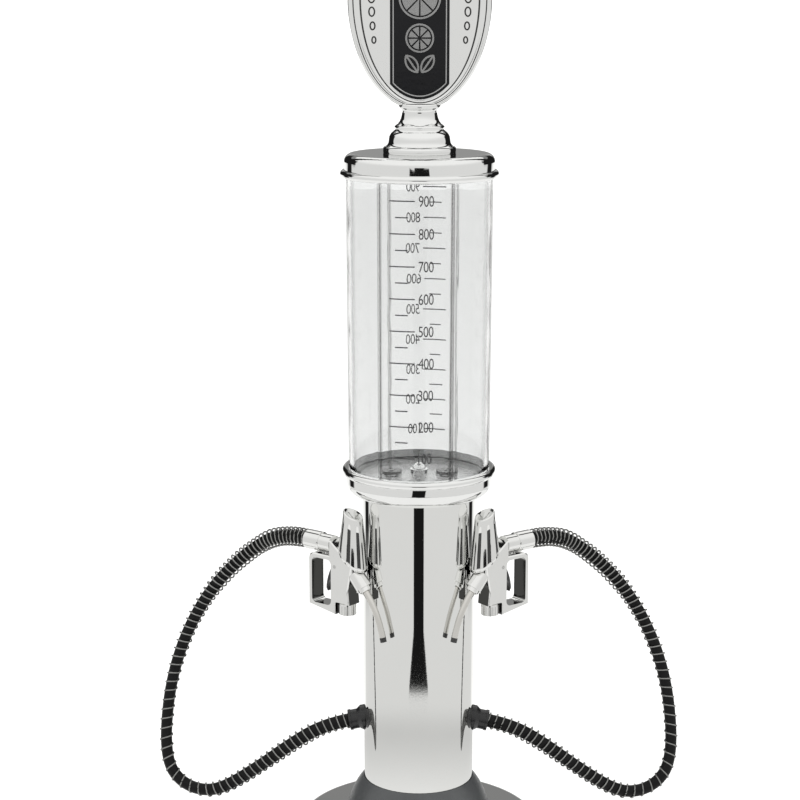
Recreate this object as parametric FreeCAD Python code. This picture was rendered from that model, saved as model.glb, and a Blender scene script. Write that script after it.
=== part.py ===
import FreeCAD, Part
import math
import os

from FreeCAD import Placement, Rotation, Vector

# A table-top drinks dispenser in the style of an old filling-station pump.
# A clear tank stands on a chrome column, two hoses leave the column near its foot,
# and each hose ends in a small trigger gun that hangs on the column under the tank.
# Origin: centre of the circle that the four feet stand on. Z is up, the front is -Y.

# Foot and dome
pad_radius = 6.0
pad_height = 2.5
pad_recess = 0.8
pad_count = 4
foot_radius = 76.0
foot_height = 9.0
foot_wall = 1.6
foot_edge = 3.5
ballast_height = 4.5
dome_radius = 46.0
dome_wall = 2.5
screw_radius = 2.0
screw_head_radius = 3.6
screw_head_height = 1.6
screw_length = 7.0

# Column
column_bottom_radius = 34.1
column_top_radius = 34.8
column_wall = 1.2
column_height = 214.0
rod_radius = 3.0
nut_radius = 5.5
nut_height = 5.0

# Cup on the column, and the tank in it
cup_floor = 2.2
cup_flare = 6.5
cup_height = 14.5
cup_wall = 1.6
cup_bead = 2.6
gasket_height = 1.2
gasket_width = 6.0
tank_bottom_radius = 42.8
tank_top_radius = 43.8
tank_wall = 2.4
tank_floor = 3.4
tank_height = 197.0
tank_ribs = 6
rib_width = 1.8
rib_stand = 0.5
first_rib_angle = -33.0

# Lid and its turned pedestal
lid_side_radius = 45.3
lid_height = 14.6
lid_wall = 1.4
lid_shoulder = 5.0
lid_bead = 2.4
lid_corner = 0.5
seal_height = 1.4
pedestal_foot_radius = 21.9
pedestal_step_radius = 18.4
pedestal_ring_radius = 14.4
pedestal_neck_radius = 10.6
pedestal_top_radius = 12.4
pedestal_height = 29.5
stud_radius = 2.5
stud_nut_radius = 5.0
stud_nut_height = 3.0

# Oval sign
sign_half_width = 42.6
sign_half_height = 65.7
sign_depth = 9.0
sign_sunk = 4.0
rim_width = 4.2
rim_rise = 1.4
window_half_width = 18.5
window_half_height = 55.6
window_round = 32.0
window_depth = 1.6
emblem_rise = 0.7
line_width = 1.1
wheel_radii = (12.5, 8.5, 8.5)
wheel_heights = (0.0, -23.5, 23.5)
wheel_cells = 8
leaf_length = 13.0
leaf_half_width = 3.6
leaf_height = 38.5
leaf_angle = 55.0
ring_width = 4.7
ring_tall = 6.8
ring_line = 0.9
ring_shrink = 0.11
ring_pitch = 8.2
rings_each_way = 3
pin_radius = 1.5

# Outlets in the tank's floor, and the tubes inside the column
outlet_place = 17.0
outlet_radius = 4.0
outlet_flange_radius = 6.5
outlet_bore = 2.6
outlet_drop = 12.0
inner_tube_radius = 5.2
barb_length = 8.0
elbow_rise = 16.0

# Glands where the hoses leave the column
gland_height = 78.5
gland_tilt = 12.0
gland_flange_radius = 8.0
gland_collar_radius = 6.2
gland_lip_radius = 6.6
gland_length = 9.5
gland_stub_radius = 5.0
gland_bore = 2.0
gland_mouth = 2.8
gland_nut_radius = 8.0
gland_nut_height = 4.0

# Hoses: a black tube with a steel wire wound round it
hose_radius = 4.2
hose_bore = 2.8
wire_radius = 5.7
wire_width = 1.1
wire_turns = 63
first_run = 21.0
last_run = 16.0
hose_route = [
    (-105.3, 25.0, 182.4),
    (-129.1, 29.0, 159.2),
    (-146.8, 28.0, 130.7),
    (-158.0, 23.0, 99.3),
    (-162.4, 16.0, 66.1),
    (-160.8, 10.0, 43.6),
    (-152.9, 7.0, 32.2),
    (-139.7, 5.0, 26.6),
    (-125.3, 3.5, 28.6),
    (-101.5, 1.5, 44.4),
    (-79.0, 0.4, 61.5),
]

# Guns. Each lies in an upright plane that is turned towards the front:
# u runs in that plane from the hose to the spout, v is the thickness, Z is up.
gun_turn = 38.0
gun_x = -46.5
gun_y = -14.5
gun_depth = 11.0
gun_edge = 0.7
gun_left = -23.7
gun_bottom = 154.0
grip_width = 2.8
grip_bar = 3.2
window_right = -5.5
window_top = 185.6
window_corner = 3.0
shoulder_left = -7.4
shoulder_top = 198.0
hood_place = 8.0
hood_top = 216.5
hood_top_radius = 6.3
hood_bottom = 187.6
hood_bottom_radius = 8.9
hood_band = 7.3
hood_wall = 1.1
hood_top_slope = 25.0
hood_bottom_slope = 38.0
hood_gap = 0.5
bonnet_radius = 5.2
bonnet_stud_radius = 3.0
connector_height = 194.6
connector_radius = 5.4
connector_length = 9.0
swivel_radius = 6.1
swivel_length = 12.0
body_right = 11.0
body_waist = 7.8
cap_radius = 5.4
cap_height = 7.0
cap_place = 3.4
cap_flutes = 16
flute_radius = 0.7
spout_points = ((16.5, 170.6), (26.3, 155.8), (31.9, 139.4))
spout_radius = 2.5
spout_wall = 0.6
spout_nut_outer = 3.9
spout_nut_length = 4.0
nozzle_radius = 5.2
nozzle_length = 10.5
trigger_pivot = (-2.6, 182.0)
trigger_depth = 4.0
trigger_reach = 6.6
trigger_bottom = 164.5
trigger_neck = 3.0
trigger_pin_radius = 1.2
trigger_toe = 2.4
trigger_travel = 12.0
trigger_face = 1.8
plunger_drop = 10.5
plunger_radius = 1.8
plunger_length = 4.6
plunger_nose = 1.2
plunger_nose_radius = 0.6

# Hangers that the guns drop onto
hanger_height = 172.0
hanger_u = -1.0
hanger_width = 13.0
hanger_tall = 20.0
hanger_wall = 1.5
button_shaft_radius = 2.0
button_head_radius = 3.8
button_head_length = 1.6
hang_plate_wall = 1.6
hang_plate_half_width = 6.0
hanger_screw_offset = 7.0
hanger_screw_radius = 1.2
hanger_screw_head = 2.2
hanger_screw_rise = 0.8
bridge_half_width = 3.2
bridge_tall = 7.0

# Fits
seat_gap = 0.3
running_gap = 0.05
fit_gap = 0.1

# Stack of heights, from the table up
foot_bottom = pad_height - pad_recess
foot_top = foot_bottom + foot_height
column_bottom = foot_top
column_top = column_bottom + column_height
cup_bottom = column_top
cup_floor_top = cup_bottom + cup_flare + cup_floor
tank_bottom = cup_floor_top + gasket_height
tank_inside = tank_bottom + tank_floor
tank_top = tank_bottom + tank_height
cup_top = tank_bottom + cup_height - cup_flare
cup_inner_radius = tank_bottom_radius + seat_gap
lid_ceiling = tank_top + seal_height
lid_top = lid_ceiling + lid_wall
lid_bottom = lid_top - lid_height
pedestal_top = lid_top + pedestal_height
sign_centre = pedestal_top - sign_sunk + sign_half_height
rim_face = sign_depth / 2
plunger_height = trigger_pivot[1] - plunger_drop
field_face = rim_face - rim_rise

gun_u = Vector(math.cos(math.radians(gun_turn)), -math.sin(math.radians(gun_turn)), 0)
gun_placement = Placement(Vector(gun_x, gun_y, 0), Rotation(Vector(0, 0, 1), -gun_turn))

os.makedirs("parts", exist_ok=True)


def save(name, shape):
    """Writes one named piece as a STEP file and says how large it is."""
    if not shape.isValid():
        print("not valid:", name)
    shape.exportStep("parts/" + name + ".step")
    print(name, "solids", len(shape.Solids), "volume", round(shape.Volume, 1))


def edges_of(points):
    """Edges through plan points: a pair (mid, end) in place of a point makes an arc."""
    edges = []
    here = points[0]
    for step in points[1:]:
        if isinstance(step[0], tuple):
            edges.append(Part.Arc(Vector(*here), Vector(*step[0]), Vector(*step[1])).toShape())
            here = step[1]
        else:
            edges.append(Part.LineSegment(Vector(*here), Vector(*step)).toShape())
            here = step
    return edges


def upright(point):
    """A point (across, height), or a pair of them for an arc, in the plane y = 0."""
    if isinstance(point[0], tuple):
        return (upright(point[0]), upright(point[1]))
    return (point[0], 0, point[1])


def face_of(points):
    """A face in the plane y = 0 inside a closed outline of (across, height) points."""
    outline = [upright(point) for point in points]
    last = outline[-1][1] if isinstance(outline[-1][0], tuple) else outline[-1]
    if last != outline[0]:
        outline.append(outline[0])
    return Part.Face(Part.Wire(edges_of(outline)))


def turned(points):
    """A solid turned about the Z axis from an outline of (radius, height) points."""
    return face_of(points).revolve(Vector(0, 0, 0), Vector(0, 0, 1), 360)


def tube(outer, inner, bottom, top):
    """A straight tube about the Z axis."""
    return turned([(inner, bottom), (outer, bottom), (outer, top), (inner, top)])


def rod(radius, bottom, top, x=0, y=0):
    """A straight rod along Z."""
    return Part.makeCylinder(radius, top - bottom, Vector(x, y, bottom))


def slab(points, thickness):
    """A plate of the given outline, with its middle on the plane y = 0."""
    plate = face_of(points).extrude(Vector(0, thickness, 0))
    plate.translate(Vector(0, -thickness / 2, 0))
    return plate


def prism(radius, sides, bottom, top, x=0, y=0):
    """An upright prism whose flats lie at the given radius."""
    corner = radius / math.cos(math.pi / sides)
    angles = [2 * math.pi * k / sides for k in range(sides + 1)]
    points = [Vector(x + corner * math.cos(a), y + corner * math.sin(a), bottom) for a in angles]
    return Part.Face(Part.makePolygon(points)).extrude(Vector(0, 0, top - bottom))


def along(shape, start, direction):
    """Moves a solid that was made along Z so that it starts at a point and runs in a direction."""
    moved = shape.copy()
    moved.Placement = Placement(start, Rotation(Vector(0, 0, 1), direction)).multiply(shape.Placement)
    return moved


def around(shape, count, first=0.0):
    """Copies of a solid, evenly spaced about the Z axis."""
    copies = []
    for k in range(count):
        copy = shape.copy()
        copy.rotate(Vector(0, 0, 0), Vector(0, 0, 1), first + 360.0 * k / count)
        copies.append(copy)
    return copies


def mirrored(shape):
    """The same piece on the right-hand side."""
    return shape.mirror(Vector(0, 0, 0), Vector(1, 0, 0))


def column_radius(z):
    """Outer radius of the column, which widens a little upwards."""
    share = (z - column_bottom) / column_height
    return column_bottom_radius + (column_top_radius - column_bottom_radius) * share


def column_cone(inset):
    """The column's outer surface moved inwards, as a solid longer than the column."""
    low = column_bottom - column_wall
    high = column_top + column_wall
    return Part.makeCone(
        column_radius(low) - inset, column_radius(high) - inset, high - low, Vector(0, 0, low)
    )


def make_foot():
    """A round chrome foot, hollow below, with a ballast plate, screws and four pads."""
    inner = foot_radius - foot_wall
    ceiling = foot_top - foot_wall
    edge_z = foot_top - foot_edge
    diagonal = foot_edge * (1 - math.sqrt(0.5))
    shell = turned([
        (rod_radius + fit_gap, ceiling),
        (inner, ceiling),
        (inner, foot_bottom),
        (foot_radius, foot_bottom),
        (foot_radius, edge_z),
        ((foot_radius - diagonal, foot_top - diagonal), (foot_radius - foot_edge, foot_top)),
        (rod_radius + fit_gap, foot_top),
    ])
    ballast_top = ceiling
    ballast_bottom = ballast_top - ballast_height
    ballast_radius = inner - seat_gap
    nut_corner = nut_radius / math.cos(math.pi / 6)
    ballast = tube(ballast_radius, nut_corner + fit_gap, ballast_bottom, ballast_top)
    pad_circle = ballast_radius - pad_radius - foot_edge
    pad = rod(pad_radius, 0, ballast_bottom, pad_circle)
    save("foot_pads", Part.makeCompound(around(pad, pad_count, 45)))

    screw_circle = pad_circle - 2 * pad_radius
    head_bottom = ballast_bottom - screw_head_height
    shank_top = min(head_bottom + screw_length, ceiling + foot_wall / 2)
    screw = rod(screw_head_radius, head_bottom, ballast_bottom, screw_circle)
    screw = screw.fuse(rod(screw_radius, ballast_bottom, shank_top, screw_circle))
    hole = rod(screw_radius + fit_gap, ballast_bottom, shank_top, screw_circle)
    for tool in around(hole, pad_count):
        shell = shell.cut(tool)
        ballast = ballast.cut(tool)
    save("foot_shell", shell)
    save("ballast_plate", ballast)
    save("ballast_screws", Part.makeCompound(around(screw, pad_count)))
    return ballast_bottom


def make_dome():
    """The dark rounded collar between the foot and the column."""
    bore = column_bottom_radius + fit_gap + column_wall / 4
    inner = dome_radius - dome_wall
    top = math.sqrt(dome_radius ** 2 - bore ** 2)
    low = math.sqrt(inner ** 2 - bore ** 2)
    half = math.radians(22)
    mid_outer = (dome_radius * math.cos(half), foot_top + dome_radius * math.sin(half))
    mid_inner = (inner * math.cos(half), foot_top + inner * math.sin(half))
    dome = turned([
        (dome_radius, foot_top),
        (mid_outer, (bore, foot_top + top)),
        (bore, foot_top + low),
        (mid_inner, (inner, foot_top)),
    ])
    save("base_dome", dome)


def make_column(ballast_bottom):
    """The column tube, its two side holes and the rod that clamps foot, column and tank."""
    shell = column_cone(0).cut(column_cone(column_wall))
    reach = column_top_radius + column_wall
    room = Part.makeBox(2 * reach, 2 * reach, column_height, Vector(-reach, -reach, column_bottom))
    shell = shell.common(room)
    hole = Part.makeCylinder(
        gland_stub_radius + fit_gap, 2 * reach, Vector(-reach, 0, gland_height), Vector(1, 0, 0)
    )
    shell = shell.cut(hole).removeSplitter()
    for tool in hanger_screws(fit_gap):
        shell = shell.cut(tool).cut(mirrored(tool))
    save("column_shell", shell)

    rod_top = tank_inside + nut_height / 2
    save("tie_rod", rod(rod_radius, ballast_bottom, rod_top))
    lower = prism(nut_radius, 6, ballast_bottom, foot_top - foot_wall)
    save("tie_nut", lower.cut(rod(rod_radius, ballast_bottom, foot_top)))
    crown = nut_radius - rod_radius / 2
    cap = turned([
        (0, tank_inside),
        (nut_radius, tank_inside),
        (nut_radius, tank_inside + nut_height / 2),
        (crown, tank_inside + nut_height / 2),
        ((crown * math.sqrt(0.5), tank_inside + nut_height / 2 + crown * math.sqrt(0.5)),
         (0, tank_inside + nut_height / 2 + crown)),
    ])
    save("cap_nut", cap.cut(rod(rod_radius, tank_inside, rod_top)))


def make_cup():
    """The flared cup that carries the tank, with a round bead at its rim."""
    foot = column_top_radius
    wall_outer = cup_inner_radius + cup_wall
    flare_top = cup_bottom + cup_flare
    bead_z = cup_top - cup_bead
    mid = (foot + (wall_outer - foot) * 0.72, cup_bottom + cup_flare * 0.36)
    cup = turned([
        (rod_radius + fit_gap, flare_top),
        (foot - column_wall - fit_gap - cup_wall, flare_top),
        (foot - column_wall - fit_gap - cup_wall, cup_bottom - cup_wall),
        (foot - column_wall - fit_gap, cup_bottom - cup_wall),
        (foot - column_wall - fit_gap, cup_bottom),
        (foot, cup_bottom),
        (mid, (wall_outer, flare_top + cup_floor)),
        (wall_outer, bead_z - cup_bead),
        ((wall_outer + cup_bead, bead_z), (wall_outer, cup_top)),
        (cup_inner_radius, cup_top),
        (cup_inner_radius, cup_floor_top),
        (rod_radius + fit_gap, cup_floor_top),
    ])
    for side in (-1, 1):
        cup = cup.cut(rod(outlet_radius + fit_gap, cup_bottom, cup_top, side * outlet_place))
    save("upper_cup", cup)
    outer = tank_bottom_radius - seat_gap
    save("tank_gasket", tube(outer, outer - gasket_width, cup_floor_top, tank_bottom))


def tank_radius(z):
    """Outer radius of the tank, which has a slight draft."""
    share = (z - tank_bottom) / tank_height
    return tank_bottom_radius + (tank_top_radius - tank_bottom_radius) * share


def make_tank():
    """The clear tank: a drafted cylinder with six fine upright ribs, open at the top."""
    tank = turned([
        (rod_radius + fit_gap, tank_bottom),
        (tank_bottom_radius, tank_bottom),
        (tank_top_radius, tank_top),
        (tank_top_radius - tank_wall, tank_top),
        (tank_radius(tank_inside) - tank_wall, tank_inside),
        (rod_radius + fit_gap, tank_inside),
    ])
    rib_bottom = cup_top + seat_gap
    rib_top = lid_bottom - seat_gap
    sleeve = turned([
        (tank_radius(rib_bottom) - tank_wall / 2, rib_bottom),
        (tank_radius(rib_bottom) + rib_stand, rib_bottom),
        (tank_radius(rib_top) + rib_stand, rib_top),
        (tank_radius(rib_top) - tank_wall / 2, rib_top),
    ])
    bar = Part.makeBox(
        rib_width, tank_top_radius * 2, tank_height,
        Vector(-rib_width / 2, -tank_top_radius * 2, tank_bottom),
    )
    for copy in around(bar, tank_ribs, first_rib_angle):
        tank = tank.fuse(sleeve.common(copy))
    for side in (-1, 1):
        tank = tank.cut(rod(outlet_radius + fit_gap, tank_bottom, tank_inside, side * outlet_place))
    save("tank", tank)


def make_outlets():
    """Two flanged outlets in the tank's floor and the tubes from them to the glands."""
    outlet_bottom = cup_bottom - outlet_drop
    flange_top = tank_inside + 1.6
    outlet = rod(outlet_radius, outlet_bottom, tank_inside)
    outlet = outlet.fuse(rod(outlet_flange_radius, tank_inside, flange_top))
    outlet = outlet.cut(rod(outlet_bore, outlet_bottom, flange_top))
    right = outlet.copy()
    outlet.translate(Vector(-outlet_place, 0, 0))
    right.translate(Vector(outlet_place, 0, 0))
    save("outlet_spigots", Part.makeCompound([outlet, right]))

    left = tube(
        inner_tube_radius, outlet_radius + running_gap,
        gland_height + elbow_rise - barb_length, outlet_bottom + barb_length,
    )
    left.translate(Vector(-outlet_place, 0, 0))
    save("inner_tube_left", left)
    save("inner_tube_right", mirrored(left))


def sweep_ring(path, radius, start, direction):
    """A round bar along a path."""
    section = Part.Wire(Part.makeCircle(radius, start, direction))
    return path.makePipeShell([section], True, False)


def gland_frame():
    """Foot point and direction of the gland's tilted outer part."""
    tilt = math.radians(gland_tilt)
    face = Vector(-column_radius(gland_height), 0, gland_height)
    return face, Vector(-math.cos(tilt), 0, -math.sin(tilt))


def make_glands():
    """Black glands: a flange on the column, a waisted collar and a threaded stub with a nut."""
    face, outward = gland_frame()
    sunk = gland_flange_radius / 3
    mid = gland_length * 0.4
    collar = turned([
        (0, -sunk),
        (gland_flange_radius, -sunk),
        (gland_flange_radius, gland_length * 0.14),
        (gland_collar_radius, mid),
        (gland_collar_radius, gland_length * 0.84),
        (gland_lip_radius, gland_length * 0.84),
        (gland_lip_radius, gland_length),
        (0, gland_length),
    ])
    collar = along(collar, face, outward).cut(column_cone(0))
    inward = Vector(1, 0, 0)
    stub_length = -face.x - outlet_place + outlet_radius
    stub = Part.makeCylinder(gland_stub_radius, stub_length, face - inward, inward)
    barb_top = gland_height + elbow_rise
    barb = rod(outlet_radius, gland_height, barb_top, -outlet_place)
    mouth_start = face - outward * column_wall
    mouth = along(Part.makeCylinder(gland_mouth, gland_length * 2), mouth_start, outward)
    bore = Part.makeCylinder(gland_bore, -face.x - outlet_place, face, inward)
    inlet = rod(outlet_bore, gland_height, barb_top, -outlet_place)
    gland = collar.fuse(stub).fuse(barb).cut(mouth).cut(bore).cut(inlet)
    save("hose_gland_left", gland)
    save("hose_gland_right", mirrored(gland))

    wall_x = -(column_radius(gland_height) - column_wall)
    nut = prism(gland_nut_radius, 6, -gland_nut_height, gland_nut_height)
    nut = nut.cut(rod(gland_stub_radius + running_gap, -gland_nut_height, gland_nut_height))
    nut = along(nut, Vector(wall_x, 0, gland_height), Vector(1, 0, 0))
    nut = nut.common(column_cone(column_wall))
    save("gland_nuts", Part.makeCompound([nut, mirrored(nut)]))


def hose_corners():
    """The hose's route from the gun to the gland, as the corners of its straight runs."""
    start = gun_point(-swivel_reach(), connector_height)
    face, outward = gland_frame()
    end = face + outward * gland_length
    route = [start, start - gun_u * first_run]
    route += [Vector(*point) for point in hose_route]
    return route + [end + outward * last_run, end]


def rounded(corners):
    """A wire of straight runs joined by arcs as large as the runs allow."""
    edges = []
    radii = []
    here = corners[0]
    for before, corner, after in zip(corners, corners[1:], corners[2:]):
        back = before - corner
        onward = after - corner
        turn = math.pi - back.getAngle(onward)
        pull = 0.45 * min(back.Length, onward.Length)
        radius = pull / math.tan(turn / 2)
        radii.append(round(radius, 1))
        first = corner + back.normalize() * pull
        last = corner + onward.normalize() * pull
        inward = (back + onward).normalize()
        centre_far = radius / math.cos(turn / 2)
        mid = corner + inward * (centre_far - radius)
        edges.append(Part.LineSegment(here, first).toShape())
        edges.append(Part.Arc(first, mid, last).toShape())
        here = last
    edges.append(Part.LineSegment(here, corners[-1]).toShape())
    return edges, radii


def stations(edges, distances):
    """Points and directions along a chain of edges, at the given distances from its start."""
    found = []
    index = 0
    gone = 0.0
    for distance in distances:
        while index < len(edges) - 1 and distance > gone + edges[index].Length:
            gone += edges[index].Length
            index += 1
        edge = edges[index]
        parameter = edge.getParameterByLength(min(max(distance - gone, 0), edge.Length))
        found.append((edge.valueAt(parameter), edge.tangentAt(parameter)))
    return found


def ring_wire(point, direction, radius):
    """A circle square to the route, with its seam always towards the front."""
    across = Vector(0, -1, 0)
    side = (across - direction * across.dot(direction)).normalize()
    circle = Part.Circle()
    circle.Center = point
    circle.Axis = direction
    circle.XAxis = side
    circle.Radius = radius
    return Part.Wire(circle.toShape())


def make_hoses():
    """A black tube with its wire drawn as one rib for each turn, and the bore through it."""
    edges, radii = rounded(hose_corners())
    length = sum(edge.Length for edge in edges)
    end_length = 2 * hose_radius
    pitch = (length - 2 * end_length) / wire_turns
    marks = [(0.0, hose_radius)]
    for k in range(wire_turns):
        middle = end_length + (k + 0.5) * pitch
        marks += [
            (middle - wire_width, hose_radius),
            (middle - wire_width / 2, wire_radius),
            (middle + wire_width / 2, wire_radius),
            (middle + wire_width, hose_radius),
        ]
    marks.append((length, hose_radius))
    places = stations(edges, [mark[0] for mark in marks])
    wires = [ring_wire(p, d, mark[1]) for (p, d), mark in zip(places, marks)]
    outer = Part.makeLoft(wires, True, True)
    steps = int(length / hose_radius)
    bore_places = stations(edges, [length * k / steps for k in range(steps + 1)])
    bore = Part.makeLoft([ring_wire(p, d, hose_bore) for p, d in bore_places], True, True)
    hose = outer.cut(bore)
    print("hose length", round(length, 1), "pitch", round(pitch, 2), "radii", radii)
    expected = math.pi * (hose_radius ** 2 - hose_bore ** 2) * length
    print("hose volume", round(hose.Volume), "plain tube", round(expected))
    save("hose_left", hose)
    save("hose_right", mirrored(hose))


def swivel_reach():
    """How far the hose end of the gun lies from the gun's own origin."""
    return -shoulder_left + connector_length + swivel_length


def gun_point(u, z, v=0.0):
    """A point of the left gun in the dispenser's frame."""
    return gun_placement.multVec(Vector(u, v, z))


def save_gun(piece, shape):
    """Places a piece of the gun on the left and its mirror image on the right."""
    placed = shape.copy()
    placed.Placement = gun_placement.multiply(shape.Placement)
    save("gun_left_" + piece, placed)
    save("gun_right_" + piece, mirrored(placed))


def hood_plane(z, slope, above):
    """A large block above or below a plane that falls towards the spout."""
    size = 8 * hood_bottom_radius
    block = Part.makeBox(size, size, size, Vector(-size / 2, -size / 2, 0 if above else -size))
    block.rotate(Vector(0, 0, 0), Vector(0, 1, 0), slope)
    block.translate(Vector(hood_place, 0, z))
    return block


def spout_path():
    """The spout's centreline, an arc in the gun's plane."""
    start, mid, end = [Vector(u, 0, z) for u, z in spout_points]
    arc = Part.Arc(start, mid, end).toShape()
    return arc, start, arc.tangentAt(arc.FirstParameter)


def gun_outline():
    """The outline of the gun's flat body, from its lower left corner clockwise."""
    grip_top = connector_height - swivel_radius - seat_gap
    slope = math.tan(math.radians(hood_bottom_slope))
    rim = hood_bottom - hood_gap / math.cos(math.radians(hood_bottom_slope))
    right_top = rim - slope * (body_right - hood_place)
    left_top_u = hood_place - (shoulder_top - rim) / slope
    return [
        (gun_left, gun_bottom + 1.0),
        (gun_left, grip_top - 4.0),
        ((gun_left + 1.2, grip_top - 1.2), (gun_left + 4.0, grip_top)),
        (shoulder_left, grip_top),
        (shoulder_left, shoulder_top),
        (left_top_u, shoulder_top),
        (body_right, right_top),
        (body_waist, right_top - 16.0),
        (cap_place + cap_radius, gun_bottom + cap_height - 2.0),
        (cap_place - cap_radius - 0.5, gun_bottom + cap_height - 2.0),
        (cap_place - cap_radius - 0.5, gun_bottom - 2.5),
    ]


def window_outline():
    """The finger window between the grip bar and the body, with round corners."""
    left = gun_left + grip_width
    bottom = gun_bottom + grip_bar - 0.6
    r = window_corner
    d = r * (1 - math.sqrt(0.5))
    return [
        (left, bottom + r),
        (left, window_top - r),
        ((left + d, window_top - d), (left + r, window_top)),
        (window_right - r, window_top),
        ((window_right - d, window_top - d), (window_right, window_top - r)),
        (window_right, bottom + r),
        ((window_right - d, bottom + d), (window_right - r, bottom)),
        (left + r, bottom),
        ((left + d, bottom + d), (left, bottom + r)),
    ]


def make_gun():
    """One gun in its own plane: body, hood, nozzle, spout, hose end and valve."""
    body = bevelled_slab(gun_outline(), gun_depth, gun_edge)
    body = body.cut(slab(window_outline(), 2 * gun_depth))
    bonnet_bottom = hood_bottom - 2 * bonnet_radius
    bonnet_top = hood_top - hood_band - hood_gap
    body = body.fuse(rod(bonnet_radius, bonnet_bottom, bonnet_top - bonnet_radius, hood_place))
    body = body.fuse(rod(bonnet_stud_radius, bonnet_bottom, bonnet_top, hood_place))

    arc, spout_start, spout_way = spout_path()
    back = spout_start - spout_way * nozzle_length
    nozzle = along(Part.makeCylinder(nozzle_radius, nozzle_length), back, spout_way)
    socket = along(Part.makeCylinder(nozzle_radius + fit_gap, nozzle_length), back, spout_way)
    body = body.cut(socket)

    slot_half = trigger_depth / 2 + seat_gap
    pivot_u, pivot_z = trigger_pivot
    slot_left = window_right - 1.0
    slot_right = trigger_swing() + seat_gap
    slot_bottom = trigger_bottom - 1.5
    slot_top = pivot_z + trigger_neck + seat_gap
    slot = Part.makeBox(
        slot_right - slot_left, 2 * slot_half, slot_top - slot_bottom,
        Vector(slot_left, -slot_half, slot_bottom),
    )
    body = body.cut(slot)
    pin_hole = Part.makeCylinder(
        trigger_pin_radius, 2 * gun_depth, Vector(pivot_u, -gun_depth, pivot_z), Vector(0, 1, 0)
    )
    body = body.cut(pin_hole)
    stroke = math.radians(trigger_travel) * plunger_drop
    bore_end = pivot_u + trigger_face + plunger_length + stroke + seat_gap
    bore = Part.makeCylinder(
        plunger_radius + running_gap, bore_end - slot_right + 1,
        Vector(slot_right - 1, 0, plunger_height), Vector(1, 0, 0),
    )
    body = body.cut(bore)
    save_gun("body", body)
    save_gun("nozzle", nozzle.cut(along(Part.makeCylinder(spout_radius, nozzle_length), back, spout_way)))
    make_spout(arc, spout_start, spout_way)
    make_hood()
    make_hose_end()
    make_cap()
    make_trigger()


def bevelled_slab(points, thickness, edge):
    """A plate whose long outer edges are bevelled, as the overlap of two tapered halves."""
    middle = thickness - 2 * edge
    core = slab(points, middle)
    outline = Part.Wire(edges_of([upright(point) for point in list(points) + [points[0]]]))
    inner = outline.makeOffset2D(-edge, 2)
    for side in (-1, 1):
        near = outline.copy()
        near.translate(Vector(0, side * middle / 2, 0))
        far = inner.copy()
        far.translate(Vector(0, side * thickness / 2, 0))
        core = core.fuse(Part.makeLoft([near, far], True, True))
    return core.removeSplitter()


def make_spout(arc, start, way):
    """The thin bent spout and the ring nut that holds it in the nozzle."""
    outer = sweep_ring(Part.Wire(arc), spout_radius - running_gap, start, way)
    inner = sweep_ring(Part.Wire(arc), spout_radius - spout_wall, start, way)
    back = start - way * (nozzle_length * 0.6)
    stub = along(Part.makeCylinder(spout_radius - running_gap, nozzle_length * 0.6), back, way)
    stub_bore = along(Part.makeCylinder(spout_radius - spout_wall, nozzle_length * 0.6), back, way)
    save_gun("spout", outer.fuse(stub).cut(inner).cut(stub_bore))
    nut = turned([
        (spout_radius + running_gap, 0),
        (spout_nut_outer, 0),
        (spout_nut_outer, spout_nut_length * 0.5),
        (spout_radius + 0.8, spout_nut_length * 0.62),
        (spout_radius + running_gap + 0.4, spout_nut_length * 0.62),
    ])
    save_gun("spout_nut", along(nut, start, way).cut(outer))


def make_hood():
    """The flared hood over the valve, cut at a slant above and below."""
    top = hood_top + hood_top_radius
    band = hood_top - hood_band
    low = hood_bottom - 2 * hood_bottom_radius
    grow = (hood_bottom_radius - hood_top_radius) / (band - hood_bottom)
    low_radius = hood_top_radius + grow * (band - low)
    outline = [
        (0, low),
        (low_radius, low),
        (hood_top_radius + 0.5, band),
        (hood_top_radius, band + 0.6),
        (hood_top_radius, top),
        (0, top),
    ]
    hollow = [
        (0, low),
        (low_radius - hood_wall, low),
        (max(hood_top_radius - hood_wall, bonnet_radius + fit_gap), band - bonnet_radius),
        (bonnet_stud_radius + running_gap, band - bonnet_radius + 0.6),
        (bonnet_stud_radius + running_gap, band),
        (0, band),
    ]
    hood = turned(outline).cut(turned(hollow))
    hood.translate(Vector(hood_place, 0, 0))
    hood = hood.cut(hood_plane(hood_top, hood_top_slope, True))
    hood = hood.cut(hood_plane(hood_bottom, hood_bottom_slope, False))
    save_gun("hood", hood)


def make_hose_end():
    """The connector on the gun's shoulder and the swivel nut that grips the hose."""
    away = Vector(-1, 0, 0)
    shoulder = Vector(shoulder_left, 0, connector_height)
    connector = Part.makeCylinder(connector_radius, connector_length, shoulder, away)
    bore = Part.makeCylinder(hose_bore, connector_length, shoulder, away)
    save_gun("connector", connector.cut(bore))
    nut = turned([
        (hose_bore, 0),
        (swivel_radius - 0.5, 0),
        (swivel_radius, 0.5),
        (swivel_radius, swivel_length - 0.5),
        (swivel_radius - 0.5, swivel_length),
        (hose_bore, swivel_length),
    ])
    save_gun("swivel_nut", along(nut, shoulder + away * connector_length, away))


def make_cap():
    """The fluted cap under the valve."""
    top = gun_bottom + cap_height - 2.0
    cap = rod(cap_radius, top - cap_height, top)
    flute = rod(flute_radius, top - cap_height, top - 1.2, cap_radius + flute_radius / 3)
    for copy in around(flute, cap_flutes):
        cap = cap.cut(copy)
    cap.translate(Vector(cap_place, 0, 0))
    save_gun("valve_cap", cap)


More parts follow.
